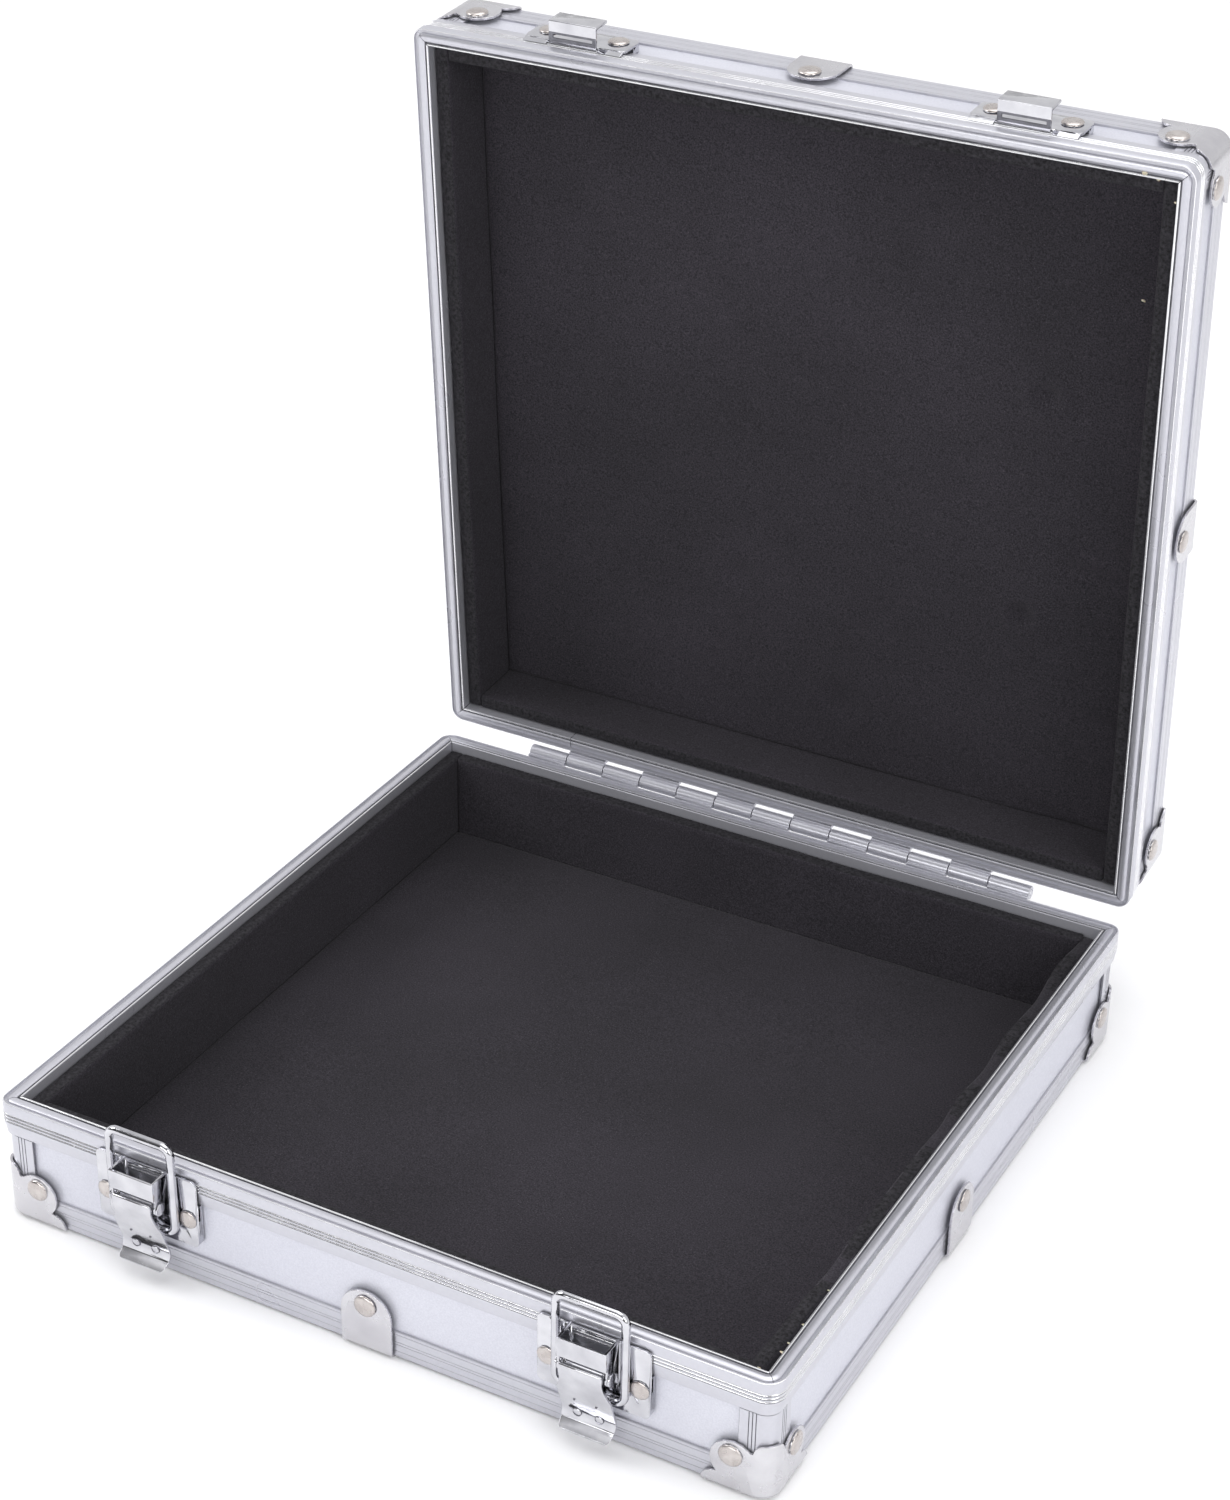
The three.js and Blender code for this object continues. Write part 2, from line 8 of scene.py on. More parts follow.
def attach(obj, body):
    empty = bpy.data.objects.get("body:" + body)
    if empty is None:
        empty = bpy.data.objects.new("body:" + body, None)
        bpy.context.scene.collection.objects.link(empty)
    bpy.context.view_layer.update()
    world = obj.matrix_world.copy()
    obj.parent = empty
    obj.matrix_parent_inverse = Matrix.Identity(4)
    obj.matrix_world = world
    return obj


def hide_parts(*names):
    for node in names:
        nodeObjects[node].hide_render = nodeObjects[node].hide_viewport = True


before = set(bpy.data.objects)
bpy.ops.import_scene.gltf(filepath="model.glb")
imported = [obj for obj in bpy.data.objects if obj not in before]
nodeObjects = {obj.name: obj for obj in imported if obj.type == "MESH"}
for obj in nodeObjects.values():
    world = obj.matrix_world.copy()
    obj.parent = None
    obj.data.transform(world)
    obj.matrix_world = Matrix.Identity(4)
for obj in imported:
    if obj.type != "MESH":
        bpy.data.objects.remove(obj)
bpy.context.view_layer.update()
print("frame loaded:", len(nodeObjects), "nodes")

# everything below is worked out in millimetres and placed in metres
caseSize = {
    "width": 216.0,
    "depth": 215.2,
    "baseHeight": 35.2,
    "lidHeight": 26.8,
    "rimGap": 0.3,
    "openAngle": 86.0,
    "pinOut": 4.91,  # hinge pin behind the rear boards
    "latchAcross": 63.2,  # latches and catches, from the middle
}
toMetres = Matrix.Scale(0.001, 4)
pinPoint = Vector(
    (0, caseSize["depth"] / 2 + caseSize["pinOut"], caseSize["baseHeight"] + caseSize["rimGap"] / 2)
)
openLid = (
    toMetres
    @ Matrix.Translation(pinPoint)
    @ Matrix.Rotation(math.radians(-caseSize["openAngle"]), 4, "X")
    @ Matrix.Translation(-pinPoint)
)
lidTop = caseSize["baseHeight"] + caseSize["rimGap"] + caseSize["lidHeight"]
trays = {
    "base": {
        "place": toMetres,
        "height": caseSize["baseHeight"],
        "frontSign": -1,
        "body": "base",
    },
    "lid": {
        "place": openLid @ Matrix.Translation((0, 0, lidTop)) @ Matrix.Rotation(math.pi, 4, "X"),
        "height": caseSize["lidHeight"],
        "frontSign": 1,
        "body": "lid",
    },
}
sideNames = ("front", "rear", "left", "right")


def sideFrame(trayName, side):
    # X along the side, Y outward from the board, Z up from the outer panel
    tray = trays[trayName]
    if side in ("left", "right"):
        quarterTurns = 1 if side == "left" else 3
        half = caseSize["width"] / 2
    else:
        isFar = (side == "front") == (tray["frontSign"] > 0)
        quarterTurns = 0 if isFar else 2
        half = caseSize["depth"] / 2
    angle = quarterTurns * math.pi / 2
    where = Vector((-math.sin(angle) * half, math.cos(angle) * half, 0))
    return tray["place"] @ Matrix.Translation(where) @ Matrix.Rotation(angle, 4, "Z")


def cornerFrame(trayName, yName, xName):
    # origin at the sharp corner of the boards, X and Y outward
    tray = trays[trayName]
    xSign = -1 if xName == "left" else 1
    ySign = tray["frontSign"] if yName == "front" else -tray["frontSign"]
    where = Vector((xSign * caseSize["width"] / 2, ySign * caseSize["depth"] / 2, 0))
    angle = math.atan2(ySign, xSign) - math.pi / 4
    return tray["place"] @ Matrix.Translation(where) @ Matrix.Rotation(angle, 4, "Z")


def latchFrame(side):
    # X along the front, Y outward, Z up from the base's rim
    x = -caseSize["latchAcross"] if side == "left" else caseSize["latchAcross"]
    where = Vector((x, -caseSize["depth"] / 2, caseSize["baseHeight"]))
    return toMetres @ Matrix.Translation(where) @ Matrix.Rotation(math.pi, 4, "Z")


def catchFrame(side):
    # the same axes on the closed lid, carried open
    x = -caseSize["latchAcross"] if side == "left" else caseSize["latchAcross"]
    where = Vector((x, -caseSize["depth"] / 2, caseSize["baseHeight"] + caseSize["rimGap"]))
    return openLid @ Matrix.Translation(where) @ Matrix.Rotation(math.pi, 4, "Z")


# turns a drawing in (out, up) so that it runs along a side
runAlong = Matrix(((0, 0, 1, 0), (1, 0, 0, 0), (0, 1, 0, 0), (0, 0, 0, 1)))


def startMaterial(name, roughness, metallic):
    material = bpy.data.materials.new(name)
    material.use_nodes = True
    nodes = material.node_tree.nodes
    shader = nodes["Principled BSDF"]
    shader.inputs["Metallic"].default_value = metallic
    shader.inputs["Roughness"].default_value = roughness
    place = nodes.new("ShaderNodeTexCoord")
    return material, nodes, material.node_tree.links, shader, place.outputs["Object"]


def addNoise(nodes, links, place, scale, detail=2.0, roughness=0.5):
    grain = nodes.new("ShaderNodeTexNoise")
    grain.inputs["Scale"].default_value = scale
    grain.inputs["Detail"].default_value = detail
    grain.inputs["Roughness"].default_value = roughness
    links.new(place, grain.inputs["Vector"])
    return grain.outputs["Fac"]


def addRamp(nodes, links, factor, stops):
    ramp = nodes.new("ShaderNodeValToRGB")
    links.new(factor, ramp.inputs["Fac"])
    ends = ramp.color_ramp.elements
    while len(ends) < len(stops):
        ends.new(0.5)
    for end, (position, colour) in zip(ends, stops):
        end.position = position
        end.color = (*colour, 1)
    return ramp.outputs["Color"]


def addRange(nodes, links, factor, low, high):
    mapRange = nodes.new("ShaderNodeMapRange")
    mapRange.inputs["From Min"].default_value = 0.3
    mapRange.inputs["From Max"].default_value = 0.7
    mapRange.inputs["To Min"].default_value = low
    mapRange.inputs["To Max"].default_value = high
    links.new(factor, mapRange.inputs["Value"])
    return mapRange.outputs["Result"]


def addBump(nodes, links, shader, height, strength, distance, under=None):
    bump = nodes.new("ShaderNodeBump")
    bump.inputs["Strength"].default_value = strength
    bump.inputs["Distance"].default_value = distance
    links.new(height, bump.inputs["Height"])
    if under:
        links.new(under, bump.inputs["Normal"])
    links.new(bump.outputs["Normal"], shader.inputs["Normal"])
    return bump.outputs["Normal"]


def mixColours(nodes, links, factor, first, second, blend="MIX"):
    mix = nodes.new("ShaderNodeMix")
    mix.data_type = "RGBA"
    mix.blend_type = blend
    if isinstance(factor, float):
        mix.inputs["Factor"].default_value = factor
    else:
        links.new(factor, mix.inputs["Factor"])
    for socket, value in ((mix.inputs[6], first), (mix.inputs[7], second)):
        if isinstance(value, tuple):
            socket.default_value = (*value, 1)
        else:
            links.new(value, socket)
    return mix.outputs[2]


facingLook = {
    "pale": (0.68, 0.685, 0.75),
    "deep": (0.60, 0.605, 0.67),
    "grainScale": 2200.0,
    "cloudScale": 22.0,
    "metallic": 0.35,
}


def boardFacing():
    material, nodes, links, shader, place = startMaterial("boardFacing", 0.4, facingLook["metallic"])
    grain = addNoise(nodes, links, place, facingLook["grainScale"], 2, 0.6)
    cloud = addNoise(nodes, links, place, facingLook["cloudScale"], 3, 0.5)
    tone = addRamp(nodes, links, grain, [(0.3, facingLook["deep"]), (0.7, facingLook["pale"])])
    drift = addRamp(nodes, links, cloud, [(0.3, (0.94, 0.94, 0.95)), (0.7, (1.0, 1.0, 1.0))])
    links.new(mixColours(nodes, links, 1.0, tone, drift, "MULTIPLY"), shader.inputs["Base Color"])
    links.new(addRange(nodes, links, cloud, 0.34, 0.46), shader.inputs["Roughness"])
    addBump(nodes, links, shader, grain, 0.35, 0.00006)
    return material


profileLook = {
    "pale": (0.585, 0.585, 0.635),
    "deep": (0.555, 0.555, 0.605),
    "metallic": 0.65,
}


def profileAluminium():
    material, nodes, links, shader, place = startMaterial("profileAluminium", 0.28, profileLook["metallic"])
    dieLines = addNoise(nodes, links, place, 900, 3, 0.6)
    cloud = addNoise(nodes, links, place, 26, 2, 0.5)
    tone = addRamp(nodes, links, dieLines, [(0.3, profileLook["deep"]), (0.7, profileLook["pale"])])
    drift = addRamp(nodes, links, cloud, [(0.3, (0.97, 0.97, 0.975)), (0.7, (1.0, 1.0, 1.0))])
    links.new(mixColours(nodes, links, 1.0, tone, drift, "MULTIPLY"), shader.inputs["Base Color"])
    links.new(addRange(nodes, links, cloud, 0.26, 0.34), shader.inputs["Roughness"])
    addBump(nodes, links, shader, dieLines, 0.1, 0.00002)
    return material


def groovePaintedShade():
    # painted shade: a dark grey laid in grooves, mitre gaps, slots and round the feet of heads, where shade
    # falls
    material, nodes, links, shader, place = startMaterial("groovePaintedShade", 0.6, 0.3)
    cloud = addNoise(nodes, links, place, 240, 3, 0.6)
    tone = addRamp(nodes, links, cloud, [(0.3, (0.13, 0.13, 0.15)), (0.7, (0.24, 0.24, 0.27))])
    links.new(tone, shader.inputs["Base Color"])
    links.new(addRange(nodes, links, cloud, 0.5, 0.7), shader.inputs["Roughness"])
    addBump(nodes, links, shader, cloud, 0.2, 0.00005)
    return material


def softGroove():
    # a lighter painted shade for the broad channels
    material, nodes, links, shader, place = startMaterial("softGroove", 0.4, 0.6)
    cloud = addNoise(nodes, links, place, 80, 3, 0.6)
    tone = addRamp(nodes, links, cloud, [(0.3, (0.42, 0.42, 0.46)), (0.7, (0.54, 0.54, 0.58))])
    links.new(tone, shader.inputs["Base Color"])
    links.new(addRange(nodes, links, cloud, 0.34, 0.5), shader.inputs["Roughness"])
    addBump(nodes, links, shader, cloud, 0.15, 0.00004)
    return material


def ridgeHighlight():
    # painted highlight: ridges, the flange's top edge and the rim's inner crown made bright where light catches
    # them
    material, nodes, links, shader, place = startMaterial("ridgeHighlight", 0.2, 0.8)
    cloud = addNoise(nodes, links, place, 130, 3, 0.6)
    tone = addRamp(nodes, links, cloud, [(0.3, (0.78, 0.78, 0.80)), (0.7, (0.90, 0.90, 0.915))])
    links.new(tone, shader.inputs["Base Color"])
    links.new(addRange(nodes, links, cloud, 0.16, 0.3), shader.inputs["Roughness"])
    addBump(nodes, links, shader, cloud, 0.1, 0.00003)
    return material


def cappingTin():
    # softly polished pressings: caps and clips
    material, nodes, links, shader, place = startMaterial("cappingTin", 0.24, 0.95)
    cloud = addNoise(nodes, links, place, 90, 4, 0.6)
    fine = addNoise(nodes, links, place, 1500, 2, 0.6)
    tone = addRamp(nodes, links, cloud, [(0.3, (0.54, 0.53, 0.56)), (0.7, (0.66, 0.655, 0.68))])
    links.new(tone, shader.inputs["Base Color"])
    links.new(addRange(nodes, links, cloud, 0.16, 0.34), shader.inputs["Roughness"])
    ripples = addBump(nodes, links, shader, fine, 0.08, 0.00003)
    addBump(nodes, links, shader, cloud, 0.25, 0.0003, ripples)
    return material


def brightNickel():
    # latch and catch plating, nearly a mirror, with soft press marks
    material, nodes, links, shader, place = startMaterial("brightNickel", 0.1, 1.0)
    cloud = addNoise(nodes, links, place, 160, 3, 0.5)
    smudge = addNoise(nodes, links, place, 420, 4, 0.65)
    tone = addRamp(nodes, links, cloud, [(0.3, (0.50, 0.50, 0.535)), (0.7, (0.66, 0.66, 0.69))])
    links.new(tone, shader.inputs["Base Color"])
    links.new(addRange(nodes, links, smudge, 0.05, 0.16), shader.inputs["Roughness"])
    addBump(nodes, links, shader, cloud, 0.3, 0.00025)
    return material


def rivetNickel():
    # warm, slightly dulled heads
    material, nodes, links, shader, place = startMaterial("rivetNickel", 0.26, 1.0)
    cloud = addNoise(nodes, links, place, 300, 4, 0.6)
    tone = addRamp(nodes, links, cloud, [(0.3, (0.44, 0.40, 0.385)), (0.7, (0.62, 0.58, 0.56))])
    links.new(tone, shader.inputs["Base Color"])
    links.new(addRange(nodes, links, cloud, 0.2, 0.36), shader.inputs["Roughness"])
    addBump(nodes, links, shader, cloud, 0.2, 0.0001)
    return material


foamLook = {
    "black": (0.013, 0.0118, 0.015),
    "grey": (0.043, 0.039, 0.048),
    "speck": (0.15, 0.14, 0.16),
    "cellScale": 2300.0,
}


def foamLining():
    material, nodes, links, shader, place = startMaterial("foamLining", 0.92, 0.0)
    cells = addNoise(nodes, links, place, foamLook["cellScale"], 3, 0.7)
    patches = addNoise(nodes, links, place, 14, 4, 0.6)
    dots = nodes.new("ShaderNodeTexVoronoi")
    dots.inputs["Scale"].default_value = 900
    links.new(place, dots.inputs["Vector"])
    body = addRamp(nodes, links, cells, [(0.36, foamLook["black"]), (0.68, foamLook["grey"])])
    worn = addRamp(nodes, links, patches, [(0.32, (0.86, 0.86, 0.86)), (0.7, (1.22, 1.2, 1.22))])
    tone = mixColours(nodes, links, 1.0, body, worn, "MULTIPLY")
    speckMask = addRamp(nodes, links, dots.outputs["Distance"], [(0.0, (0.5, 0.5, 0.5)), (0.16, (0, 0, 0))])
    links.new(mixColours(nodes, links, speckMask, tone, foamLook["speck"]), shader.inputs["Base Color"])
    shader.inputs["Sheen Weight"].default_value = 0.06
    shader.inputs["Sheen Roughness"].default_value = 0.5
    shader.inputs["Specular IOR Level"].default_value = 0.2
    addBump(nodes, links, shader, cells, 0.5, 0.00012)
    return material


def foamCutEdge():
    # the sliced top edge, darker than the face: partly its open cells, partly painted shade where the strip
    # tops lie in shadow
    material, nodes, links, shader, place = startMaterial("foamCutEdge", 0.95, 0.0)
    cells = addNoise(nodes, links, place, 1100, 3, 0.75)
    tone = addRamp(nodes, links, cells, [(0.35, (0.011, 0.0105, 0.012)), (0.7, (0.042, 0.04, 0.046))])
    links.new(tone, shader.inputs["Base Color"])
    shader.inputs["Specular IOR Level"].default_value = 0.2
    addBump(nodes, links, shader, cells, 0.7, 0.0002)
    return material


def gluePale():
    material, nodes, links, shader, place = startMaterial("gluePale", 0.3, 0.0)
    cloud = addNoise(nodes, links, place, 700, 3, 0.6)
    tone = addRamp(nodes, links, cloud, [(0.3, (0.38, 0.34, 0.24)), (0.7, (0.6, 0.56, 0.44))])
    links.new(tone, shader.inputs["Base Color"])
    shader.inputs["Subsurface Weight"].default_value = 0.2
    shader.inputs["Subsurface Scale"].default_value = 0.001
    return material


facing = boardFacing()
profile = profileAluminium()
capping = cappingTin()
nickel = brightNickel()
rivetFinish = rivetNickel()
foam = foamLining()
foamEdge = foamCutEdge()
glue = gluePale()
paintedShade = groovePaintedShade()
shade = softGroove()
paintedHighlight = ridgeHighlight()
print("materials made:", len(bpy.data.materials))


bevelAngle = 32


def addPiece(
    bm, name, body, material, place=None, bevelWidth=0.0, sharpAngle=bevelAngle, replaces=(),
    turnOut=True, extras=(),
):
    if place is not None:
        bmesh.ops.transform(bm, matrix=place, verts=bm.verts)
    if turnOut:
        bmesh.ops.recalc_face_normals(bm, faces=bm.faces)
    mesh = bpy.data.meshes.new(name)
    bm.to_mesh(mesh)
    bm.free()
    for finish in (material, *extras):
        mesh.materials.append(finish)
    mesh.shade_smooth()
    mesh.set_sharp_from_angle(angle=math.radians(sharpAngle))
    piece = bpy.data.objects.new(name, mesh)
    bpy.context.scene.collection.objects.link(piece)
    if bevelWidth:
        rounding = piece.modifiers.new("rounding", "BEVEL")
        rounding.width = bevelWidth / 1000
        rounding.segments = 2
        rounding.limit_method = "ANGLE"
        rounding.angle_limit = math.radians(bevelAngle)
        rounding.use_clamp_overlap = False
        rounding.harden_normals = True
    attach(piece, body)
    if replaces:
        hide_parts(*replaces)
    return piece


def onlyVerts(geometry):
    return [item for item in geometry if isinstance(item, bmesh.types.BMVert)]


def onlyEdges(geometry):
    return [item for item in geometry if isinstance(item, bmesh.types.BMEdge)]


def drawLoop(bm, points):
    verts = [bm.verts.new(point) for point in points]
    edges = [bm.edges.new((vert, verts[(index + 1) % len(verts)])) for index, vert in enumerate(verts)]
    return verts, edges


def extrudeOutline(points, depth):
    bm = bmesh.new()
    verts, edges = drawLoop(bm, [(x, y, 0) for x, y in points])
    made = bmesh.ops.contextual_create(bm, geom=edges)
    raised = bmesh.ops.extrude_face_region(bm, geom=made["faces"])
    bmesh.ops.translate(bm, vec=(0, 0, depth), verts=onlyVerts(raised["geom"]))
    return bm


def arcPoints(centre, radius, start, end, count):
    # degrees, both ends included
    points = []
    for index in range(count + 1):
        angle = math.radians(start + (end - start) * index / count)
        points.append((centre[0] + radius * math.cos(angle), centre[1] + radius * math.sin(angle)))
    return points


def sweepRound(section, trayName, steps):
    # carries an (out, up) section once round the case, turning at each corner
    halfX, halfY = caseSize["width"] / 2, caseSize["depth"] / 2
    turns = []
    for xSign, ySign in ((1, 1), (-1, 1), (-1, -1), (1, -1)):
        inset = cornerInset(trayName, xSign, ySign)
        turns.append(Vector((xSign * (halfX - inset), ySign * (halfY - inset), 0)))
    bm = bmesh.new()
    startY = turns[3].y
    verts, edges = drawLoop(bm, [(halfX + out, startY, up) for out, up in section])
    for index, centre in enumerate(turns):
        last = turns[index - 1]
        run = Vector((0, centre.y - last.y, 0)) if index % 2 == 0 else Vector((centre.x - last.x, 0, 0))
        straight = bmesh.ops.extrude_edge_only(bm, edges=edges)["geom"]
        verts = onlyVerts(straight)
        edges = [edge for edge in onlyEdges(straight) if all(vert in verts for vert in edge.verts)]
        bmesh.ops.translate(bm, vec=run, verts=verts)
        turned = bmesh.ops.spin(
            bm, geom=verts + edges, cent=centre, axis=(0, 0, 1), angle=math.pi / 2, steps=steps,
            use_duplicate=False,
        )["geom_last"]
        verts, edges = onlyVerts(turned), onlyEdges(turned)
    bmesh.ops.remove_doubles(bm, verts=bm.verts, dist=0.0005)
    return bm


def cutAway(bm, point, normal):
    # keeps the side behind the plane and closes the cut
    geometry = bm.verts[:] + bm.edges[:] + bm.faces[:]
    cut = bmesh.ops.bisect_plane(
        bm, geom=geometry, dist=1e-5, plane_co=point, plane_no=normal, clear_outer=True, clear_inner=False
    )
    bmesh.ops.holes_fill(bm, edges=onlyEdges(cut["geom_cut"]), sides=0)


def copyOfNode(nodeName, mergeFlats=True):
    bm = bmesh.new()
    bm.from_mesh(nodeObjects[nodeName].data)
    bmesh.ops.remove_doubles(bm, verts=bm.verts, dist=2e-6)
    if mergeFlats:
        bmesh.ops.dissolve_limit(bm, angle_limit=math.radians(1), verts=bm.verts, edges=bm.edges)
    return bm


def polishNode(nodeName, pieceName, body, material, bevelWidth, extras=(), shape=None):
    bm = copyOfNode(nodeName, not shape)
    if shape:
        shape(bm)
    return addPiece(bm, pieceName, body, material, None, bevelWidth, bevelAngle, (nodeName,), False, extras)


for trayName in trays:
    for nodeName in [f"{trayName}_panel"] + [f"{trayName}_wall_{side}" for side in sideNames]:
        nodeObjects[nodeName].data.materials.clear()
        nodeObjects[nodeName].data.materials.append(facing)
print("boards faced")


def paintFaces(bm, chosen, index):
    bm.faces.ensure_lookup_table()
    for face in bm.faces:
        if chosen(face.calc_center_median()):
            face.material_index = index


lipShape = {
    "flangeOut": 1.68,
    "flangeFoot": 1.1,  # the flange thins towards its lower edge
    "flangeDrop": 10.0,
    "ridgeDrops": (5.5, 4.5, 3.5),
    "ridgeHeight": 0.16,
    "ridgeHalf": 0.2,
    "scratchHalf": 0.11,
    "channel": 0.75,
    "mitreGap": 0.2,
    "seam": (67.75, 67.95),  # where the lid's rim extrusion meets itself at the rear
    "cornerInsets": {
        "base": {"front_left": 2.0, "front_right": 3.2, "rear_left": 2.4, "rear_right": 2.0},
        "lid": {"front_left": 1.8, "front_right": 2.6, "rear_left": 2.0, "rear_right": 2.2},
    },
}


def cornerInset(trayName, xSign, ySign):
    yName = "front" if ySign == trays[trayName]["frontSign"] else "rear"
    xName = "left" if xSign < 0 else "right"
    return lipShape["cornerInsets"][trayName][f"{yName}_{xName}"]


def flangeSection(height):
    out, foot = lipShape["flangeOut"], lipShape["flangeFoot"]
    bottom = height - lipShape["flangeDrop"]
    points = [
        (-0.35, height - 1.1), (-0.35, bottom + 0.1), (foot - 0.2, bottom), (foot, bottom + 0.18),
        (out, height - 6.6),
    ]
    half, scratch = lipShape["ridgeHalf"], lipShape["scratchHalf"]
    for drop in lipShape["ridgeDrops"]:
        middle = height - drop
        points += [
            (out, middle - half - 2 * scratch),
            (out - 0.12, middle - half - scratch),
            (out, middle - half),
            (out + lipShape["ridgeHeight"] * 0.75, middle - half * 0.5),
            (out + lipShape["ridgeHeight"], middle),
            (out + lipShape["ridgeHeight"] * 0.75, middle + half * 0.5),
            (out, middle + half),
        ]
    points += [
        (out, height - 0.5), (out - 0.12, height - 0.24), (1.36, height - 0.2),
        (1.2, height - lipShape["channel"]),
    ]
    return points


def rimSection(height):
    # a channel, a broad rounded bead, a narrow groove and a rolled inner edge
    channel = height - lipShape["channel"]
    return [
        (1.3, height - 1.1), (1.15, channel), (0.36, channel), (0.28, height - 0.52), (0.2, height - 0.34),
        (0.02, height - 0.22), (-0.3, height - 0.09), (-0.75, height - 0.01), (-1.2, height),
        (-1.6, height - 0.09),
        (-1.88, height - 0.24), (-1.98, height - 0.62), (-2.28, height - 0.62), (-2.36, height - 0.16),
        (-2.55, height - 0.05), (-2.8, height - 0.08), (-2.95, height - 0.22), (-3.0, height - 0.5),
        (-3.0, height - 6.0), (-2.4, height - 6.0), (-2.4, height - 1.9), (0.3, height - 1.9),
    ]


def rimBar(trayName, side):
    # a straight bar, cut on the diagonals and rounded at its outer corners, in the side's own frame
    tray = trays[trayName]
    halfLength = (caseSize["width"] if side in ("front", "rear") else caseSize["depth"]) / 2
    bm = extrudeOutline(rimSection(tray["height"]), 2 * halfLength + 6)
    bmesh.ops.transform(bm, matrix=Matrix.Translation((-halfLength - 3, 0, 0)) @ runAlong, verts=bm.verts)
    gap = lipShape["mitreGap"] / 2
    along = sideFrame(trayName, side)
    direction = tray["place"].inverted() @ along
    channel = tray["height"] - lipShape["channel"]
    for end in (-1, 1):
        normal = Vector((end, -1, 0)).normalized()
        cutAway(bm, Vector((end * halfLength, 0, 0)) - normal * gap, normal)
        # painted shade on the mitre cut faces, seen through the gap
        for face in bm.faces:
            face.normal_update()
            if abs(face.normal.dot(normal)) > 0.99:
                face.material_index = 1
        corner = direction @ Vector((end * halfLength, 0, 0))
        inset = cornerInset(trayName, math.copysign(1, corner.x), math.copysign(1, corner.y))
        for step in range(11):
            spot = end * (halfLength - inset + (inset + 1.3) * step / 11)
            geometry = bm.verts[:] + bm.edges[:] + bm.faces[:]
            bmesh.ops.bisect_plane(bm, geom=geometry, dist=1e-5, plane_co=(spot, 0, 0), plane_no=(1, 0, 0))
        for vert in bm.verts:
            past, out = end * vert.co.x - (halfLength - inset), vert.co.y + inset
            if past > 0 and out > 0 and math.hypot(past, out) > 0.01:
                shrink = max(past, out) / math.hypot(past, out)
                vert.co.x = end * (halfLength - inset + past * shrink)
                vert.co.y = out * shrink - inset
    # painted shade in the channel and the narrow groove, painted highlight on the inner crown
    paintFaces(bm, lambda centre: 0.36 < centre.y < 1.2 and abs(centre.z - channel) < 0.05, 2)
    crown = tray["height"] - 0.12
    paintFaces(bm, lambda centre: centre.z > crown and centre.y < -2.4, 3)
    grooveTop, grooveFloor = tray["height"] - 0.3, tray["height"] - 0.7
    paintFaces(bm, lambda centre: -2.37 < centre.y < -1.9 and grooveFloor < centre.z < grooveTop, 1)
    return bm


for trayName, tray in trays.items():
    flange = sweepRound(flangeSection(tray["height"]), trayName, 12)
    for drop in lipShape["ridgeDrops"]:
        middle = tray["height"] - drop
        scratch = middle - lipShape["ridgeHalf"] - lipShape["scratchHalf"]
        # painted highlight on each ridge, painted shade in the small notch under it
        paintFaces(flange, lambda centre: abs(centre.z - middle) < lipShape["ridgeHalf"], 2)
        paintFaces(flange, lambda centre: abs(centre.z - scratch) < lipShape["scratchHalf"], 3)
    # painted highlight along the flange's top edge
    paintFaces(flange, lambda centre: centre.z > tray["height"] - 0.26, 2)
    addPiece(
        flange, f"{trayName}_lip_flange", tray["body"], profile, tray["place"], sharpAngle=30,
        replaces=(f"{trayName}_lip_frame",), extras=(shade, paintedHighlight, paintedShade),
    )
    for side in sideNames:
        bar = rimBar(trayName, side)
        place = sideFrame(trayName, side)
        if trayName == "lid" and side == "rear":
            otherEnd = bar.copy()
            cutAway(bar, (lipShape["seam"][0], 0, 0), (1, 0, 0))
            cutAway(otherEnd, (lipShape["seam"][1], 0, 0), (-1, 0, 0))
            addPiece(otherEnd, "lid_rim_rear_short", "lid", profile, place, extras=(paintedShade, shade, paintedHighlight))
        addPiece(bar, f"{trayName}_rim_{side}", tray["body"], profile, place, extras=(paintedShade, shade, paintedHighlight))
print("lip frames swept")


edgeShape = {
    "height": 8.2,
    "out": 0.62,
    "leg": 8.0,
    "shortBy": 14.0,  # the corner caps cover the bar's ends
    "grooves": (2.2, 4.2, 5.0, 7.3),
    "grooveHalf": 0.1,
    "grooveDepth": 0.14,
}


def edgeSection():
    out = edgeShape["out"]
    points = [(0.0, 0.7), (-edgeShape["leg"], 0.7), (-edgeShape["leg"], 0.06)]
    points += arcPoints((out - 0.8, 0.86), 0.8, -90, 0, 6)
    for groove in edgeShape["grooves"]:
        half = edgeShape["grooveHalf"]
        points += [(out, groove - half), (out - edgeShape["grooveDepth"], groove), (out, groove + half)]
    top = edgeShape["height"]
    points += [(out, top - 0.14), (out - 0.14, top), (0.0, top)]
    return points


postShape = {
    "leg": 8.0,
    "out": 0.9,
    "centre": 3.3,
    "grooves": (3.64, 4.56, 5.5),
    "grooveHalf": 0.13,
    "grooveDepth": 0.16,
    "foot": 8.35,  # just above the edge profile
    "belowRim": 10.2,  # just under the lip
}


def postOutline():
    out, leg, centre = postShape["out"], postShape["leg"], postShape["centre"]
    half, depth = postShape["grooveHalf"], postShape["grooveDepth"]
    flat = [(-leg, 0.35), (-leg, out - 0.1), (-leg + 0.1, out)]
    for groove in reversed(postShape["grooves"]):
        flat += [(-groove - half, out), (-groove, out - depth), (-groove + half, out)]
    turn = arcPoints((-centre, -centre), centre + out, 90, 0, 14)
    otherFlat = [(y, x) for x, y in reversed(flat)]
    return flat + turn + otherFlat + arcPoints((-centre, -centre), centre + 0.35, 0, 90, 6)


def isPostGroove(centre):
    # the groove walls on both legs, and the two cut ends
    skin, floor = postShape["out"] - 0.02, postShape["out"] - 0.14
    low, high = sorted((centre.x, centre.y))
    return low < -postShape["leg"] + 0.02 or (low < -postShape["centre"] and floor < high < skin)


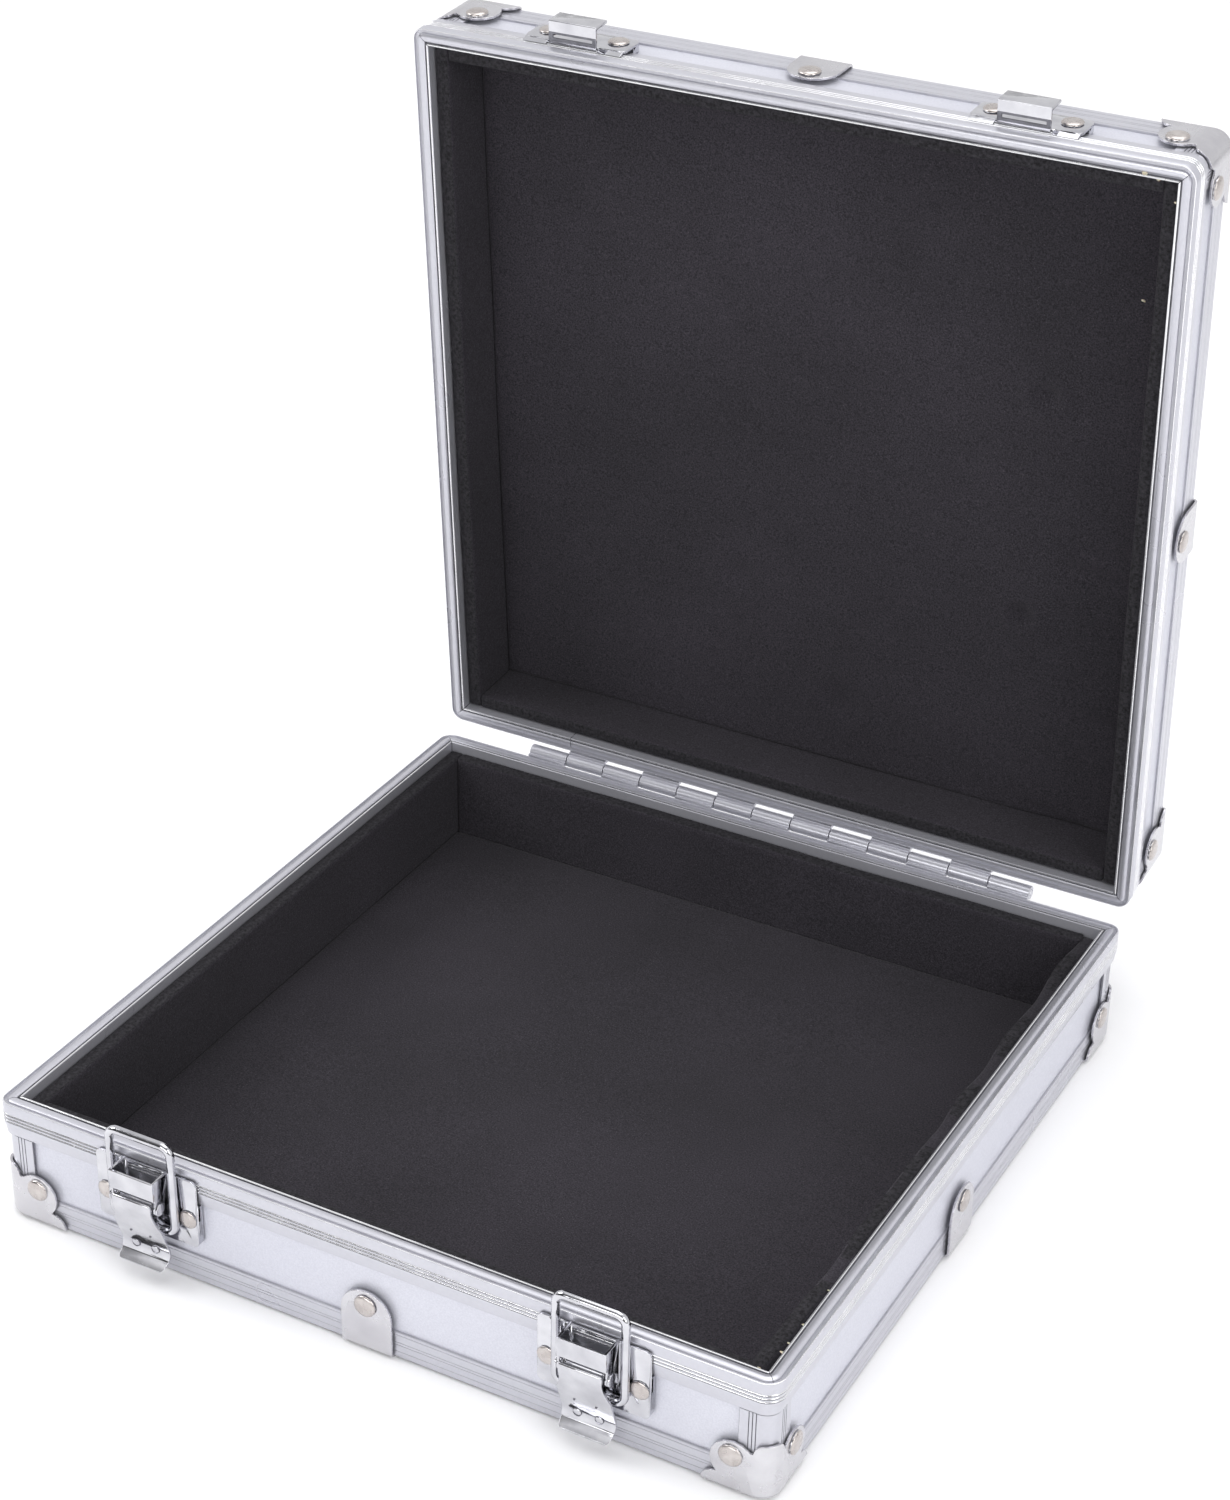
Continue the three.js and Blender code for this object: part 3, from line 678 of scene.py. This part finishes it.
for trayName, tray in trays.items():
    for side in sideNames:
        length = (caseSize["width"] if side in ("front", "rear") else caseSize["depth"]) - edgeShape["shortBy"]
        bar = extrudeOutline(edgeSection(), length)
        top, skin = edgeShape["height"], edgeShape["out"] - 0.02
        # painted shade in the grooves and along the top face where the bar meets the board
        paintFaces(bar, lambda centre: centre.x < skin and 1.0 < centre.y < top - 0.3, 1)
        paintFaces(bar, lambda centre: centre.x < skin and centre.y > top - 0.01, 1)
        place = sideFrame(trayName, side) @ Matrix.Translation((-length / 2, 0, 0)) @ runAlong
        addPiece(
            bar, f"{trayName}_edge_profile_{side}", tray["body"], profile, place, sharpAngle=25,
            replaces=(f"{trayName}_edge_{side}",), extras=(shade,),
        )
    for yName in ("front", "rear"):
        for xName in ("left", "right"):
            postHeight = tray["height"] - postShape["belowRim"] - postShape["foot"]
            post = extrudeOutline(postOutline(), postHeight)
            # painted shade in the grooves and on the cut ends
            paintFaces(post, isPostGroove, 1)
            place = cornerFrame(trayName, yName, xName) @ Matrix.Translation((0, 0, postShape["foot"]))
            addPiece(
                post, f"{trayName}_corner_post_{yName}_{xName}", tray["body"], profile, place, sharpAngle=25,
                replaces=(f"{trayName}_post_{yName}_{xName}",), extras=(paintedShade,),
            )
print("profiles and posts drawn")


rivetShape = {
    "radius": 3.05,
    "height": 0.98,
    "capAcross": 9.2,
    "capUp": 11.0,
    "sheetOut": 1.9,  # outer face of caps and clips
    "clipUp": {"base": 14.0, "lid": 10.9},
}


def rivetHead(radius, height):
    # Z outward, spun from half a section
    bm = bmesh.new()
    section = [
        (0, -0.2), (radius * 0.96, -0.2), (radius * 0.96, 0.16), (radius, 0.26),
        (radius * 0.985, height * 0.45), (radius * 0.93, height * 0.66), (radius * 0.78, height * 0.86),
        (radius * 0.5, height * 0.97), (0, height * 1.03),
    ]
    verts = [bm.verts.new((across, 0, up)) for across, up in section]
    edges = [bm.edges.new(pair) for pair in zip(verts, verts[1:])]
    bmesh.ops.spin(
        bm, geom=verts + edges, cent=(0, 0, 0), axis=(0, 0, 1), angle=2 * math.pi, steps=40, use_merge=True,
        use_duplicate=False,
    )
    bmesh.ops.remove_doubles(bm, verts=bm.verts, dist=0.0005)
    bmesh.ops.dissolve_degenerate(bm, edges=bm.edges, dist=0.0001)
    # painted shade round the foot of the head
    paintFaces(bm, lambda centre: centre.z < 0.3, 1)
    return bm


faceOut = Matrix.Rotation(-math.pi / 2, 4, "X")  # turns a head's Z to the frame's outward Y
faceSide = Matrix.Rotation(math.pi / 2, 4, "Y")  # and to the frame's outward X


def addRivet(name, body, place, where, turn=faceOut, radius=None, height=None):
    head = rivetHead(radius or rivetShape["radius"], height or rivetShape["height"])
    placed = place @ Matrix.Translation(where) @ turn
    addPiece(head, name, body, rivetFinish, placed, sharpAngle=60, extras=(paintedShade,))


for trayName, tray in trays.items():
    for yName in ("front", "rear"):
        for xName in ("left", "right"):
            corner = f"{yName}_{xName}"
            polishNode(
                f"{trayName}_cap_{corner}", f"{trayName}_corner_cap_{corner}", tray["body"], capping, 0.14
            )
            place = cornerFrame(trayName, yName, xName)
            across, out, up = rivetShape["capAcross"], rivetShape["sheetOut"], rivetShape["capUp"]
            addRivet(f"{trayName}_cap_rivet_{corner}_a", tray["body"], place, (-across, out, up))
            addRivet(f"{trayName}_cap_rivet_{corner}_b", tray["body"], place, (out, -across, up), faceSide)
    clipRivet = (0, rivetShape["sheetOut"], rivetShape["clipUp"][trayName])
    for side in ("front", "left", "right"):
        polishNode(f"{trayName}_clip_{side}", f"{trayName}_edge_clip_{side}", tray["body"], capping, 0.14)
        addRivet(f"{trayName}_clip_rivet_{side}", tray["body"], sideFrame(trayName, side), clipRivet)
print("caps and clips riveted")


latchShape = {
    "bailOut": 4.2,
    "bailLow": -18.9,
    "bailTop": 7.075,
    "bailHalf": 9.175,
    "bailBend": 2.6,
    "wire": 1.125,
    "plateFace": 2.75,
    "rivetAcross": 12.3,
    "rivetUp": -14.2,
    "rollLength": 11.2,
    "rollRadius": 0.5,
    "rollOut": 9.08,
    "rollUp": -9.05,
}
catchShape = {
    "rivetAcross": 10.3,
    "rivetUp": 11.0,
    "lipAcross": 11.1,
    "lipLength": 6.9,
    "lipOutline": ((2.75, 5.9), (2.3, 4.2), (1.95, 3.5), (1.95, 4.4), (2.0, 5.9)),
    "hookDark": (2.9, 5.3),  # the shaded part of the folded strip, outward
}


def bailLoop():
    half, bend = latchShape["bailHalf"], latchShape["bailBend"]
    low, top = latchShape["bailLow"], latchShape["bailTop"]
    out = latchShape["bailOut"]
    bm = bmesh.new()
    ring = bmesh.ops.create_circle(bm, cap_ends=False, segments=20, radius=latchShape["wire"])["verts"]
    bmesh.ops.translate(bm, vec=(half, out, low + bend), verts=ring)
    verts = ring
    edges = list({edge for vert in ring for edge in vert.link_edges})
    turns = (
        ((0, 0, top - low - 2 * bend), (half - bend, out, top - bend)),
        ((-2 * (half - bend), 0, 0), (-half + bend, out, top - bend)),
        ((0, 0, -(top - low - 2 * bend)), (-half + bend, out, low + bend)),
        ((2 * (half - bend), 0, 0), (half - bend, out, low + bend)),
    )
    for run, centre in turns:
        straight = bmesh.ops.extrude_edge_only(bm, edges=edges)["geom"]
        verts = onlyVerts(straight)
        edges = [edge for edge in onlyEdges(straight) if all(vert in verts for vert in edge.verts)]
        bmesh.ops.translate(bm, vec=run, verts=verts)
        turned = bmesh.ops.spin(
            bm, geom=verts + edges, cent=centre, axis=(0, -1, 0), angle=math.pi / 2, steps=10,
            use_duplicate=False,
        )["geom_last"]
        verts, edges = onlyVerts(turned), onlyEdges(turned)
    bmesh.ops.remove_doubles(bm, verts=bm.verts, dist=0.0005)
    return bm


def softBar(length, radius):
    # a round-ended rod along X
    bm = bmesh.new()
    bmesh.ops.create_cone(bm, cap_ends=True, segments=20, radius1=radius, radius2=radius, depth=length)
    rims = [edge for edge in bm.edges if any(len(face.verts) > 4 for face in edge.link_faces)]
    bmesh.ops.bevel(
        bm, geom=rims, offset=radius * 0.6, offset_type="OFFSET", segments=3, profile=0.5, affect="EDGES",
        material=-1,
    )
    bmesh.ops.rotate(bm, cent=(0, 0, 0), matrix=Matrix.Rotation(math.pi / 2, 3, "Y"), verts=bm.verts)
    return bm


def roundPlate(place, low, high):
    # softens the pressed plate's outer edge, in the latch's own frame
    def shape(bm):
        bmesh.ops.transform(bm, matrix=place.inverted(), verts=bm.verts)
        edge = []
        for candidate in bm.edges:
            ends = [vert.co for vert in candidate.verts]
            onFace = all(abs(end.y - latchShape["plateFace"]) < 0.02 for end in ends)
            if onFace and all(abs(end.x) > 13 or end.z < low or end.z > high for end in ends):
                edge.append(candidate)
        outline = [candidate for candidate in edge if len(candidate.link_faces) == 2]
        outline = [candidate for candidate in outline if candidate.calc_face_angle(0) > 0.8]
        bmesh.ops.bevel(
            bm, geom=outline, offset=0.45, offset_type="OFFSET", segments=3, profile=0.5, affect="EDGES",
            material=-1, clamp_overlap=True,
        )
        bmesh.ops.transform(bm, matrix=place, verts=bm.verts)

    return shape


def shadeHook(place):
    # painted shade on the folded strip's root and in its slot
    roundEdge = roundPlate(place, 5.4, 14.6)
    near, far = catchShape["hookDark"]

    def shape(bm):
        roundEdge(bm)
        bmesh.ops.transform(bm, matrix=place.inverted(), verts=bm.verts)
        for out in (near, far):
            geometry = bm.verts[:] + bm.edges[:] + bm.faces[:]
            bmesh.ops.bisect_plane(bm, geom=geometry, dist=1e-5, plane_co=(0, out, 0), plane_no=(0, 1, 0))
        paintFaces(
            bm, lambda centre: abs(centre.x) < 7.05 and near < centre.y < far and 4.3 < centre.z < 6.2, 1
        )
        bmesh.ops.transform(bm, matrix=place, verts=bm.verts)

    return shape


leverMarks = {
    "bumpSpacing": 5.86,
    "bumpRadius": 1.15,
    "bumpHeight": 0.42,
    "bumpOut": 4.66,
    "bumpUp": -26.1,
    "pinholeUp": -20.9,
    "pinholeOut": 6.25,
}

for side in ("left", "right"):
    place = latchFrame(side)
    rounded = roundPlate(place, -22.3, -2.5)
    polishNode(f"latch_plate_{side}", f"latch_{side}_plate", "base", nickel, 0.16, shape=rounded)
    polishNode(f"latch_pivot_pin_{side}", f"latch_{side}_pivot", "base", nickel, 0.15)
    polishNode(f"latch_lever_{side}", f"latch_{side}_lever", f"lever_{side}", nickel, 0.16)
    addPiece(
        bailLoop(), f"latch_{side}_bail", f"bail_{side}", nickel, place, sharpAngle=60,
        replaces=(f"latch_bail_{side}",),
    )
    for sign, end in ((-1, "a"), (1, "b")):
        where = (sign * latchShape["rivetAcross"], latchShape["plateFace"], latchShape["rivetUp"])
        addRivet(f"latch_{side}_rivet_{end}", "base", place, where, radius=2.6, height=0.75)
    roll = softBar(latchShape["rollLength"], latchShape["rollRadius"])
    addPiece(
        roll, f"latch_{side}_lever_roll", f"lever_{side}", nickel,
        place @ Matrix.Translation((0, latchShape["rollOut"], latchShape["rollUp"])), sharpAngle=50,
    )
    for across, end in ((-0.5, "a"), (0.5, "b")):
        bump = rivetHead(leverMarks["bumpRadius"], leverMarks["bumpHeight"])
        where = (across * leverMarks["bumpSpacing"], leverMarks["bumpOut"], leverMarks["bumpUp"])
        addPiece(
            bump, f"latch_{side}_lever_bump_{end}", f"lever_{side}", nickel,
            place @ Matrix.Translation(where) @ faceOut, sharpAngle=60, extras=(paintedShade,),
        )
    polishNode(
        f"lid_catch_{side}", f"lid_catch_{side}_hook", "lid", nickel, 0.22, (paintedShade,), shadeHook(catchFrame(side))
    )
    for direction, end in ((-1, "a"), (1, "b")):
        # the plate's edge folds down over the ridges beside the hook
        lip = extrudeOutline(catchShape["lipOutline"], catchShape["lipLength"])
        start = catchShape["lipAcross"] * direction - catchShape["lipLength"] / 2
        addPiece(
            lip, f"lid_catch_{side}_lip_{end}", "lid", nickel,
            catchFrame(side) @ Matrix.Translation((start, 0, 0)) @ runAlong, 0.15,
        )
    for sign, end in ((-1, "a"), (1, "b")):
        where = (sign * catchShape["rivetAcross"], latchShape["plateFace"], catchShape["rivetUp"])
        addRivet(f"lid_catch_{side}_rivet_{end}", "lid", catchFrame(side), where, radius=2.9, height=0.85)
    for across, end in ((-0.5, "a"), (0.5, "b")):
        # painted shade: each pip is a small dark dome standing for a pinhole's shade
        pip = rivetHead(0.3, 0.2)
        paintFaces(pip, lambda centre: True, 1)
        where = (across * leverMarks["bumpSpacing"], leverMarks["pinholeOut"], leverMarks["pinholeUp"])
        addPiece(
            pip, f"latch_{side}_lever_pip_{end}", f"lever_{side}", nickel,
            place @ Matrix.Translation(where) @ faceOut, sharpAngle=60, extras=(paintedShade,),
        )
print("latches and catches fitted")


hingeShape = {
    "leafRivets": 6,
    "length": 162.0,
    "leafOut": 3.1,
    "rivetRadius": 2.0,
    "rivetHeight": 0.7,
    "rivetUp": {"base": -5.6, "lid": 6.0},  # from the base's rim
}
polishNode("hinge_leaf_base", "hinge_base_leaf", "base", profile, 0.12)
polishNode("hinge_leaf_lid", "hinge_lid_leaf", "lid", profile, 0.12)
polishNode("hinge_pin", "hinge_long_pin", "base", nickel, 0.1)
for index in range(hingeShape["leafRivets"]):
    across = hingeShape["length"] * ((index + 0.5) / hingeShape["leafRivets"] - 0.5)
    for trayName, carried in (("base", toMetres), ("lid", openLid)):
        up = caseSize["baseHeight"] + hingeShape["rivetUp"][trayName]
        rear = carried @ Matrix.Translation((across, caseSize["depth"] / 2 + hingeShape["leafOut"], up))
        addRivet(
            f"hinge_{trayName}_rivet_{index + 1}", trayName, rear, (0, 0, 0),
            radius=hingeShape["rivetRadius"], height=hingeShape["rivetHeight"],
        )
print("hinge fitted")


foamShape = {
    "thickness": 4.0,
    "rimDrop": 2.6,
    "inner": 3.3,  # outer face of the side strips, inward from the boards' faces
    "bottom": 3.3,
    "edgeRound": 0.7,
    "cellMm": 2.5,
    "padCellMm": 1.6,
}


def foamBlock(low, high, cell):
    # a strip cut from sheet: rounded edges, fine mesh for the dents
    bm = bmesh.new()
    bmesh.ops.create_cube(bm, size=1)
    size = [b - a for a, b in zip(low, high)]
    bmesh.ops.scale(bm, vec=size, verts=bm.verts)
    bmesh.ops.translate(bm, vec=[(a + b) / 2 for a, b in zip(low, high)], verts=bm.verts)
    bmesh.ops.bevel(
        bm, geom=bm.edges[:], offset=foamShape["edgeRound"], offset_type="OFFSET", segments=2, profile=0.5,
        affect="EDGES", material=-1,
    )
    for axis in range(3):
        count = max(1, round(size[axis] / cell))
        for step in range(1, count):
            spot = [0, 0, 0]
            spot[axis] = low[axis] + size[axis] * step / count
            normal = [0, 0, 0]
            normal[axis] = 1
            bmesh.ops.bisect_plane(
                bm, geom=bm.verts[:] + bm.edges[:] + bm.faces[:], dist=1e-5, plane_co=spot, plane_no=normal
            )
    return bm


def unevenFoam(bm, amount, seed, scale=0.03):
    # low swellings and the small nicks of a cut edge
    for vert in bm.verts:
        spot = vert.co * scale + Vector((seed, seed * 1.7, 0))
        push = Vector(
            (noise.noise(spot), noise.noise(spot + Vector((7, 3, 1))), noise.noise(spot + Vector((2, 9, 5))))
        )
        fine = Vector((0, 0, noise.noise(vert.co * 0.35 + Vector((seed, 0, 4)))))
        vert.co += push * amount + fine * amount * 0.35


lidDents = (
    # across, along from the hinge, radius, depth
    (68.5, 138.6, 3.0, 1.6),
    (65.5, 71.4, 2.8, 1.5),
    (-21.0, 62.0, 4.0, 0.8),
    (12.0, 28.0, 5.0, 0.8),
)
lidCreases = (
    # start and end, across and along from the hinge
    ((76.0, 90.0), (98.0, 88.0), 0.7),
    ((80.0, 96.0), (97.0, 95.0), 0.5),
    ((86.0, 44.0), (98.0, 43.0), 0.5),
    ((72.0, 10.0), (98.0, 5.0), 0.6),
)


def pressDents(bm, faceUp, yBack):
    for vert in bm.verts:
        if vert.co.z < faceUp - 1.2:
            continue
        along = vert.co.y - yBack
        for across, up, radius, depth in lidDents:
            distance = math.hypot(vert.co.x - across, along - up)
            vert.co.z -= depth * math.exp(-((distance / radius) ** 2))
            vert.co.z += 0.4 * depth * math.exp(-(((distance - 1.8 * radius) / (0.7 * radius)) ** 2))
        for (x0, y0), (x1, y1), depth in lidCreases:
            run = Vector((x1 - x0, y1 - y0))
            reach = max(0, min(1, (Vector((vert.co.x - x0, along - y0)) @ run) / run.length_squared))
            gap = (Vector((vert.co.x, along)) - Vector((x0, y0)) - run * reach).length
            vert.co.z -= depth * math.exp(-((gap / 1.6) ** 2))


halfX, halfY = caseSize["width"] / 2, caseSize["depth"] / 2
for trayIndex, (trayName, tray) in enumerate(trays.items()):
    top = tray["height"] - foamShape["rimDrop"]
    bottom = foamShape["bottom"]
    outer = foamShape["inner"]
    inner = outer + foamShape["thickness"]
    inset = inner + 0.15
    sheetLow = (-halfX + inset, -halfY + inset, bottom)
    sheetHigh = (halfX - inset, halfY - inset, bottom + foamShape["thickness"])
    sheet = foamBlock(sheetLow, sheetHigh, foamShape["padCellMm"])
    unevenFoam(sheet, 0.16, 3 + trayIndex)
    if trayName == "lid":
        pressDents(sheet, sheetHigh[2], -halfY)
    pad = addPiece(
        sheet, f"{trayName}_foam_pad", tray["body"], foam, tray["place"], sharpAngle=180,
        replaces=(f"{trayName}_foam_sheet",),
    )
    strips = {
        "left": ((-halfX + outer, -halfY + outer, bottom), (-halfX + inner, halfY - outer, top)),
        "right": ((halfX - inner, -halfY + outer, bottom), (halfX - outer, halfY - outer, top)),
        "back": ((-halfX + inner + 0.1, halfY - inner, bottom), (halfX - inner - 0.1, halfY - outer, top)),
        "fore": ((-halfX + inner + 0.1, -halfY + outer, bottom), (halfX - inner - 0.1, -halfY + inner, top)),
    }
    for stripIndex, (stripName, (low, high)) in enumerate(strips.items()):
        strip = foamBlock(low, high, foamShape["cellMm"])
        unevenFoam(strip, 0.22, 20 + 10 * trayIndex + stripIndex)
        if trayName == "base" and stripName == "right":
            # this strip has come loose at the top and waves in and out
            for vert in strip.verts:
                lift = max(0, (vert.co.z - bottom) / (top - bottom)) ** 2
                wave = noise.noise(Vector((vert.co.y * 0.045, 4.2, 0)))
                vert.co.x -= lift * (0.9 + 1.6 * wave)
                vert.co.z += lift * (-0.4 + 1.1 * wave)
        piece = addPiece(
            strip, f"{trayName}_foam_strip_{stripName}", tray["body"], foam, tray["place"], sharpAngle=180,
            replaces=(f"{trayName}_foam_sides",),
        )
        piece.data.materials.append(foamEdge)
        upward = tray["place"].to_3x3() @ Vector((0, 0, 1))
        upward.normalize()
        topMetres = (tray["place"] @ Vector((0, 0, top - 0.5))).dot(upward)
        # the strips' top faces take the darker cut-edge finish, partly painted shade
        for face in piece.data.polygons:
            if face.normal.dot(upward) > 0.6 and face.center.dot(upward) > topMetres:
                face.material_index = 1
print("foam laid")


glueSpots = (
    # tray, across, along the depth, up, half-width
    ("base", 104.75, -97.0, 34.7, 0.5),
    ("base", 104.8, -93.5, 34.8, 0.35),
    ("base", 104.8, -86.0, 34.7, 0.4),
    ("base", 102.5, -104.4, 34.7, 0.4),
    ("base", 104.8, -72.0, 34.7, 0.3),
    ("lid", 100.0, 104.6, 26.5, 0.45),
    ("lid", 96.5, 105.6, 26.75, 0.55),
    ("lid", 104.8, 99.5, 26.5, 0.35),
    ("lid", 92.5, 63.5, 7.4, 0.45),
)
for index, (trayName, across, depth, up, half) in enumerate(glueSpots):
    spot = bmesh.new()
    bmesh.ops.create_icosphere(spot, subdivisions=2, radius=half)
    bmesh.ops.scale(spot, vec=(1.3, 0.8, 0.35), verts=spot.verts)
    for vert in spot.verts:
        vert.co += vert.co * 0.5 * noise.noise(vert.co * 1.8 + Vector((index, 0, 0)))
    bmesh.ops.translate(spot, vec=(across, depth, up), verts=spot.verts)
    tray = trays[trayName]
    addPiece(spot, f"{trayName}_glue_spot_{index + 1}", tray["body"], glue, tray["place"], sharpAngle=180)
print("glue dabbed")


studio = {
    "roomTone": ((0.05, 0.06), (0.25, 0.14), (0.42, 0.5), (0.55, 0.82)),
    "ceilingTone": ((0.0, 1.0), (0.46, 1.0), (0.5, 0.05), (0.84, 0.12), (0.93, 0.55), (0.97, 1.0)),
    "roomStrength": 1.05,
    "floorColour": (0.95, 0.95, 0.955),
    "cameraAt": (0.3201, -0.5860, 0.4964),
    "cameraLook": (-0.4024, 0.7577, -0.5138),
    "cameraRoll": 1.04,
    "lens": 73.34,
    "shift": (-0.0031, 0.0407),
    "lights": (
        # name, place, aimed at, size, watts
        ("keySoftbox", (-1.6, -0.5, 1.3), (0, 0, 0.1), (0.9, 0.9), 13),
        ("fillSoftbox", (1.5, -0.7, 0.9), (0, 0, 0.1), (0.8, 1.2), 10),
        ("frontSoftbox", (0.1, -1.9, 0.75), (0, 0, 0.05), (1.8, 0.7), 17),
        ("topSoftbox", (0.1, 0.3, 1.9), (0, 0, 0.1), (1.6, 1.6), 14),
    ),
}
floorMesh = bmesh.new()
bmesh.ops.create_grid(floorMesh, x_segments=1, y_segments=1, size=6)
floorData = bpy.data.meshes.new("studioFloor")
floorMesh.to_mesh(floorData)
floorMesh.free()
floorObject = bpy.data.objects.new("studioFloor", floorData)
floorObject.location.z = -0.0005
bpy.context.scene.collection.objects.link(floorObject)
floorMaterial = bpy.data.materials.new("studioFloor")
floorMaterial.use_nodes = True
floorShader = floorMaterial.node_tree.nodes["Principled BSDF"]
floorShader.inputs["Base Color"].default_value = (*studio["floorColour"], 1)
floorShader.inputs["Roughness"].default_value = 0.9
floorData.materials.append(floorMaterial)


def addLight(name, where, target, size, power):
    data = bpy.data.lights.new(name, "AREA")
    data.shape = "RECTANGLE"
    data.size, data.size_y = size
    data.energy = power
    light = bpy.data.objects.new(name, data)
    light.location = where
    light.rotation_euler = (Vector(target) - Vector(where)).to_track_quat("-Z", "Y").to_euler()
    bpy.context.scene.collection.objects.link(light)


for settings in studio["lights"]:
    addLight(*settings)
world = bpy.data.worlds.new("studioWorld")
bpy.context.scene.world = world
world.use_nodes = True
background = world.node_tree.nodes["Background"]
skyNodes, skyLinks = world.node_tree.nodes, world.node_tree.links
skyPlace = skyNodes.new("ShaderNodeTexCoord")
split = skyNodes.new("ShaderNodeSeparateXYZ")
skyLinks.new(skyPlace.outputs["Generated"], split.inputs["Vector"])


def skyRamp(axis, stops):
    lift = skyNodes.new("ShaderNodeMapRange")
    lift.inputs["From Min"].default_value = -1
    lift.inputs["From Max"].default_value = 1
    skyLinks.new(split.outputs[axis], lift.inputs["Value"])
    coloured = [(at, (tone, tone, tone * 1.01)) for at, tone in stops]
    return addRamp(skyNodes, skyLinks, lift.outputs["Result"], coloured)


# bright behind and overhead, a dim room in front
depthTone = skyRamp("Y", studio["roomTone"])
heightTone = skyRamp("Z", studio["ceilingTone"])
skyLinks.new(mixColours(skyNodes, skyLinks, 1.0, depthTone, heightTone, "LIGHTEN"), background.inputs["Color"])
background.inputs["Strength"].default_value = studio["roomStrength"]

cameraData = bpy.data.cameras.new("camera")
cameraData.lens = studio["lens"]
cameraData.sensor_width = 36
cameraData.shift_x, cameraData.shift_y = studio["shift"]
cameraData.clip_start = 0.01
camera = bpy.data.objects.new("camera", cameraData)
camera.location = studio["cameraAt"]
look = Vector(studio["cameraLook"]).to_track_quat("-Z", "Y")
camera.rotation_mode = "QUATERNION"
camera.rotation_quaternion = look @ Matrix.Rotation(math.radians(studio["cameraRoll"]), 3, "Z").to_quaternion()
bpy.context.scene.collection.objects.link(camera)
bpy.context.scene.camera = camera
bpy.context.scene.view_settings.view_transform = "Standard"
print("studio lit")
